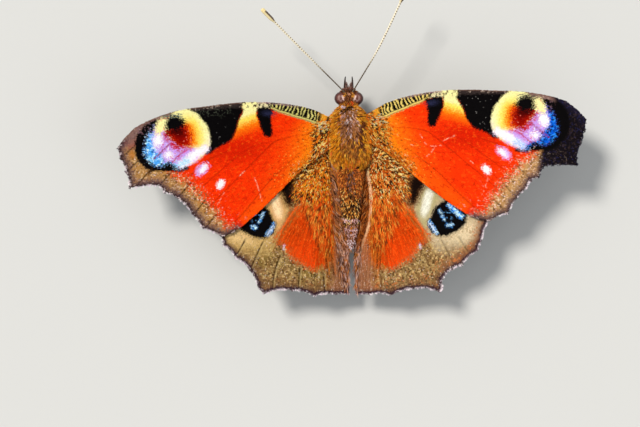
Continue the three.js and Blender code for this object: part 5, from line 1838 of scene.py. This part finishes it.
# Legs
LEGS = {
    "midleg": {"hip": (1.2, -1.4, 4.2), "knee": (5.2, -2.4, 5.0), "ankle": (7.9, -3.6, 0.75),
               "toe": (10.9, -4.8, 0)},
    "hindleg": {"hip": (1.1, 1.6, 4.2), "knee": (4.9, 4.8, 4.9), "ankle": (7.1, 8.9, 0.75),
                "toe": (8.4, 12.4, 0)},
}
SOLE_START = 0.28
FOOT_HEIGHT = 0.2
FORELEG_ROUTE = [(0.85, -3.2, 3.7), (1.05, -4.3, 3.25), (0.95, -5.4, 3.3), (0.7, -6.4, 3.75)]


def limb(start, end, radii, pieces=14, bow=0.0):
    """Straight or slightly bowed length between two joints, with its radius given at even steps."""
    share = np.linspace(0, 1, pieces + 1)
    path = np.asarray(start) + share[:, None] * (np.asarray(end) - np.asarray(start))
    path[:, 2] += bow * np.sin(math.pi * share)
    girth = np.interp(share, np.linspace(0, 1, len(radii)), radii)
    rounded = np.sqrt(np.clip(np.minimum(share, 1 - share) / 0.06, 0.05, 1))
    points, triangles, _ = tube(path, girth * rounded)
    return points, triangles, path, girth


def leg(leg_name, side_name, side, material, coat):
    shape = LEGS[leg_name]
    hip, knee, ankle, toe = (np.array([side * x, y, z], float) for x, y, z in
                             (shape[key] for key in ("hip", "knee", "ankle", "toe")))
    landing = ankle + SOLE_START * (toe - ankle)
    landing[2] = FOOT_HEIGHT
    end = toe.copy()
    end[2] = FOOT_HEIGHT
    heading = unit(end - landing)
    parts = []
    lengths = []
    tan = tone(120, 84, 50)
    for first, last, radii, tint, bow in (
            (hip, knee, (0.2, 0.36, 0.34, 0.24, 0.18), tone(84, 60, 40), 0.0),
            (knee, ankle, (0.2, 0.24, 0.2, 0.17, 0.19), tan, 0.12),
            (ankle, landing, (0.17, 0.13, 0.15), tone(140, 104, 66), 0.0)):
        points, triangles, path, girth = limb(first, last, radii, bow=bow)
        parts.append((points, triangles, tint))
        lengths.append((path, girth, tint))
    joints = 4
    stride = (end - landing) / joints
    for step in range(joints):
        first = landing + step * stride
        points, triangles, path, girth = limb(first - 0.06 * heading, first + stride, (0.11, 0.12, 0.15), 8)
        parts.append((points, triangles, tone(134, 98, 62)))
        lengths.append((path, girth, tone(134, 98, 62)))
    across = np.array([-heading[1], heading[0], 0])
    for aside in (-1, 1):
        claw = [end, end + 0.12 * heading + 0.07 * aside * across + [0, 0, 0.03],
                end + 0.24 * heading + 0.1 * aside * across + [0, 0, -0.08]]
        path = spline3(claw, 8)
        points, triangles, _ = tube(path, np.linspace(0.05, 0.012, 9), 8)
        parts.append((points, triangles, tone(40, 26, 18)))
        spur = [ankle, ankle + 0.3 * unit(landing - ankle) + 0.16 * aside * across]
        path = np.array([spur[0] + share * (spur[1] - spur[0]) for share in np.linspace(0, 1, 5)])
        points, triangles, _ = tube(path, np.linspace(0.05, 0.01, 5), 8)
        parts.append((points, triangles, tone(70, 48, 30)))
    points, triangles, colours = join(parts)
    nodes = [f"{leg_name}_{side_name}_{part}" for part in ("femur", "tibia", "tarsus")]
    piece = make_piece(f"{leg_name}_{side_name}_skin", points, triangles, colours, material, smooth=True)
    mount(piece, "leg", *nodes)
    limb_hair(f"{leg_name}_{side_name}_hair", lengths, coat, 31 + 7 * side + len(leg_name))


def limb_hair(name, lengths, coat, seed, density=26.0, reach=0.3):
    """Short hair and flat scales down the lengths of a leg."""
    rng = np.random.default_rng(seed)
    roots, flows, normals, tints, sizes = [], [], [], [], []
    for path, girth, tint in lengths:
        long = np.linalg.norm(path[-1] - path[0])
        count = int(density * long * 2 * math.pi * girth.mean() * 1.6)
        at = rng.uniform(0.02, 0.97, count)
        share = np.linspace(0, 1, len(path))
        flow = np.tile(unit(path[-1] - path[0]), (count, 1))
        normal = around(rng.uniform(0, 2 * math.pi, count), *side_and_up(flow))
        radius = np.interp(at, share, girth)[:, None]
        roots.append(interpolate(at, share, path) + 0.95 * radius * normal)
        flows.append(flow)
        normals.append(normal)
        tints.append(tint * rng.uniform(0.6, 1.5, (count, 1)))
        sizes.append(rng.uniform(0.6, 1.1, count) * reach * np.clip(girth.mean() / 0.25, 0.35, 1))
    roots, flows, normals, tints = (np.vstack(rows) for rows in (roots, flows, normals, tints))
    sizes = np.concatenate(sizes)
    low, high = roots.min(0), roots.max(0)
    places = ((roots - low) / (high - low))[:, :2]
    hair(name, "leg", coat, roots, flows, normals, sizes, 0.035, 0.3, 0.25, np.clip(tints, 0, 1), places)


def foreleg(side_name, side, material, coat):
    route = [(side * x, y, z) for x, y, z in FORELEG_ROUTE]
    path = spline3(route, 24)
    share = np.linspace(0, 1, 25)
    radii = 0.17 * (1 - 0.25 * share) * np.sqrt(np.clip(np.minimum(share, 1.02 - share) / 0.06, 0.05, 1))
    points, triangles, _ = tube(path, radii)
    tint = tone(104, 80, 58)
    piece = make_piece(f"foreleg_{side_name}_skin", points, triangles, tint, material, smooth=True)
    mount(piece, "leg", f"foreleg_{side_name}")
    limb_hair(f"foreleg_{side_name}_hair", [(path, np.full(25, 0.16), tint)], coat, 71 + side, 90.0, 0.5)


# Stage, light and camera
PIXEL = 0.14                    # mm of the wings for each pixel of the picture
PICTURE_MIDDLE = (4.27, 9.975)  # the place on the wings under the middle of the picture
WING_HEIGHT = 8.5
LENS = 100.0
SENSOR = 36.0
PICTURE_WIDTH = 640


def stage():
    half = 1.5
    mesh = bpy.data.meshes.new("floor")
    mesh.from_pydata([(-half, -half, 0), (half, -half, 0), (half, half, 0), (-half, half, 0)], [],
                     [(0, 1, 2, 3)])
    look = {"Base Color": (0.62, 0.62, 0.6, 1), "Roughness": 0.9, "Specular IOR Level": 0.2}
    material, _ = new_material("floor", look)
    mesh.materials.append(material)
    floor = add_object("floor", mesh)


def lamp(name, strength, colour, aim, spread):
    """Far light from the direction that aim points to, softened by its spread in degrees."""
    light = bpy.data.lights.new(name, "SUN")
    light.energy = strength
    light.color = colour
    light.angle = math.radians(spread)
    add_object(name, light).rotation_euler = Vector(aim).to_track_quat("Z", "Y").to_euler()


def lighting():
    lamp("key", strength=2.75, colour=(1.0, 0.96, 0.9), aim=(0.5, -0.45, 1.0), spread=14)
    lamp("fill", strength=0.4, colour=(0.9, 0.95, 1.0), aim=(-0.8, 0.5, 0.8), spread=40)
    world = bpy.data.worlds.new("studio")
    world.use_nodes = True
    set_inputs(world.node_tree.nodes["Background"], {"Color": (0.95, 0.97, 1.0, 1), "Strength": 0.5})
    bpy.context.scene.world = world
    bpy.context.scene.view_settings.view_transform = "Standard"


def camera():
    view = bpy.data.cameras.new("camera")
    view.lens = LENS
    view.sensor_width = SENSOR
    view.clip_start = 0.01
    away = PIXEL * PICTURE_WIDTH * LENS / SENSOR
    eye_point = add_object("camera", view)
    eye_point.location = (PICTURE_MIDDLE[0] * MM, PICTURE_MIDDLE[1] * MM, (WING_HEIGHT + away) * MM)
    eye_point.rotation_euler = (0, 0, math.pi)
    bpy.context.scene.camera = eye_point


# Roughness, specular level, depth and fineness of the grain, bump strength and clear coat
SURFACES = {
    "wing_scales": (0.6, 0.02, 0.12, 12000.0, 0.1, 0.0),
    "wing_skin": (0.6, 0.02, 0.15, 9000.0, 0.3, 0.0),
    "fur": (0.55, 0.15, 0.15, 14000.0, 0.1, 0.0),
    "hide": (0.7, 0.1, 0.25, 7000.0, 0.5, 0.0),
    "eye_gloss": (0.32, 0.3, 0.12, 9000.0, 0.3, 0.1),
    "feeler": (0.55, 0.12, 0.15, 16000.0, 0.3, 0.0),
    "tongue": (0.35, 0.5, 0.2, 12000.0, 0.4, 0.0),
    "leg_shell": (0.45, 0.45, 0.2, 9000.0, 0.3, 0.0),
}


# Everything together
FIRST_SEED = 100
SEEDS_EACH_WING = 10
BASE_TINTS = {"forewing_left": fore_base_tint, "forewing_right": dark_fore_base_tint,
              "hindwing_left": hind_base_tint, "hindwing_right": pale_hind_base_tint}
GUTTER_TINTS = {1: gutter_tint, -1: warm_gutter_tint}


def wing(name, pose, membrane, scales, fur, seed):
    """Skin, the scales above and below, the fringe and the hair of one wing."""
    wing_skin(name, pose, membrane)
    spacing = 0.097 if pose["kind"] == "forewing" else 0.092
    scale_coat(f"{name}_scales_above", pose, scales, spacing=spacing, length=0.21, width=0.13,
               upper=True, seed=seed)
    scale_coat(f"{name}_scales_below", pose, scales, spacing=0.125, length=0.25, width=0.17,
               upper=False, seed=seed + 1)
    fringe(f"{name}_fringe", pose, fur, seed + 4)
    if pose["kind"] == "forewing":
        wing_hair(f"{name}_base_hair", pose, fur, FORE_BASE_ZONE, spacing=0.1, thinning=1.2,
                  heading=fore_base_heading, length=fore_base_length, width=0.08, rise=0.12,
                  seed=seed + 2, tint_at=BASE_TINTS[name])
        return
    wing_hair(f"{name}_base_hair", pose, fur, HIND_BASE_ZONE, spacing=0.12, thinning=1.6,
              heading=hind_base_heading, length=hind_base_length, width=0.085, rise=0.1,
              seed=seed + 2, tint_at=BASE_TINTS[name])
    wing_hair(f"{name}_gutter_hair", pose, fur, GUTTER_ZONE[pose["side"]], spacing=0.14, thinning=0.4,
              heading=gutter_heading, length=gutter_length, width=0.07, rise=0.2,
              seed=seed + 3, tint_at=GUTTER_TINTS[pose["side"]])


def build():
    scales, membrane, fur, hide, glossy, feeler, tongue, shell = (
        make_material(name, *surface) for name, surface in SURFACES.items())
    seed = FIRST_SEED
    for name, pose in POSES.items():
        wing(name, pose, membrane, scales, fur, seed)
        seed += SEEDS_EACH_WING
    body_skin(hide)
    body_hair("thorax_hair", fur, count=5000, strands=5, front=-5.25, rear=3.6, length=thorax_hair_length,
              width=0.06, lift=0.45, spread=0.07, seed=11, comb=thorax_comb, tint_at=thorax_hair_tint)
    body_hair("abdomen_hair", fur, count=3600, strands=3, front=3.3, rear=14.9, length=abdomen_hair_length,
              width=0.08, lift=0.4, spread=0.05, seed=12, comb=abdomen_comb, tint_at=abdomen_hair_tint)
    body_hair("head_hair", fur, count=1700, strands=5, front=-7.41, rear=-4.6, length=head_hair_length,
              width=0.05, lift=0.5, spread=0.05, seed=13, comb=head_comb, tint_at=head_hair_tint)
    face_hair(fur)
    for name, side in SIDES.items():
        eye(f"eye_{name}", side, glossy)
        palp(f"palp_{name}", side, tongue, fur)
        antenna(f"antenna_{name}", ANTENNA_ROUTES[name], feeler)
        foreleg(name, side, shell, fur)
        for leg_name in LEGS:
            leg(leg_name, name, side, shell, fur)
    proboscis(tongue)


camera()
lighting()
stage()
build()
bpy.context.view_layer.update()
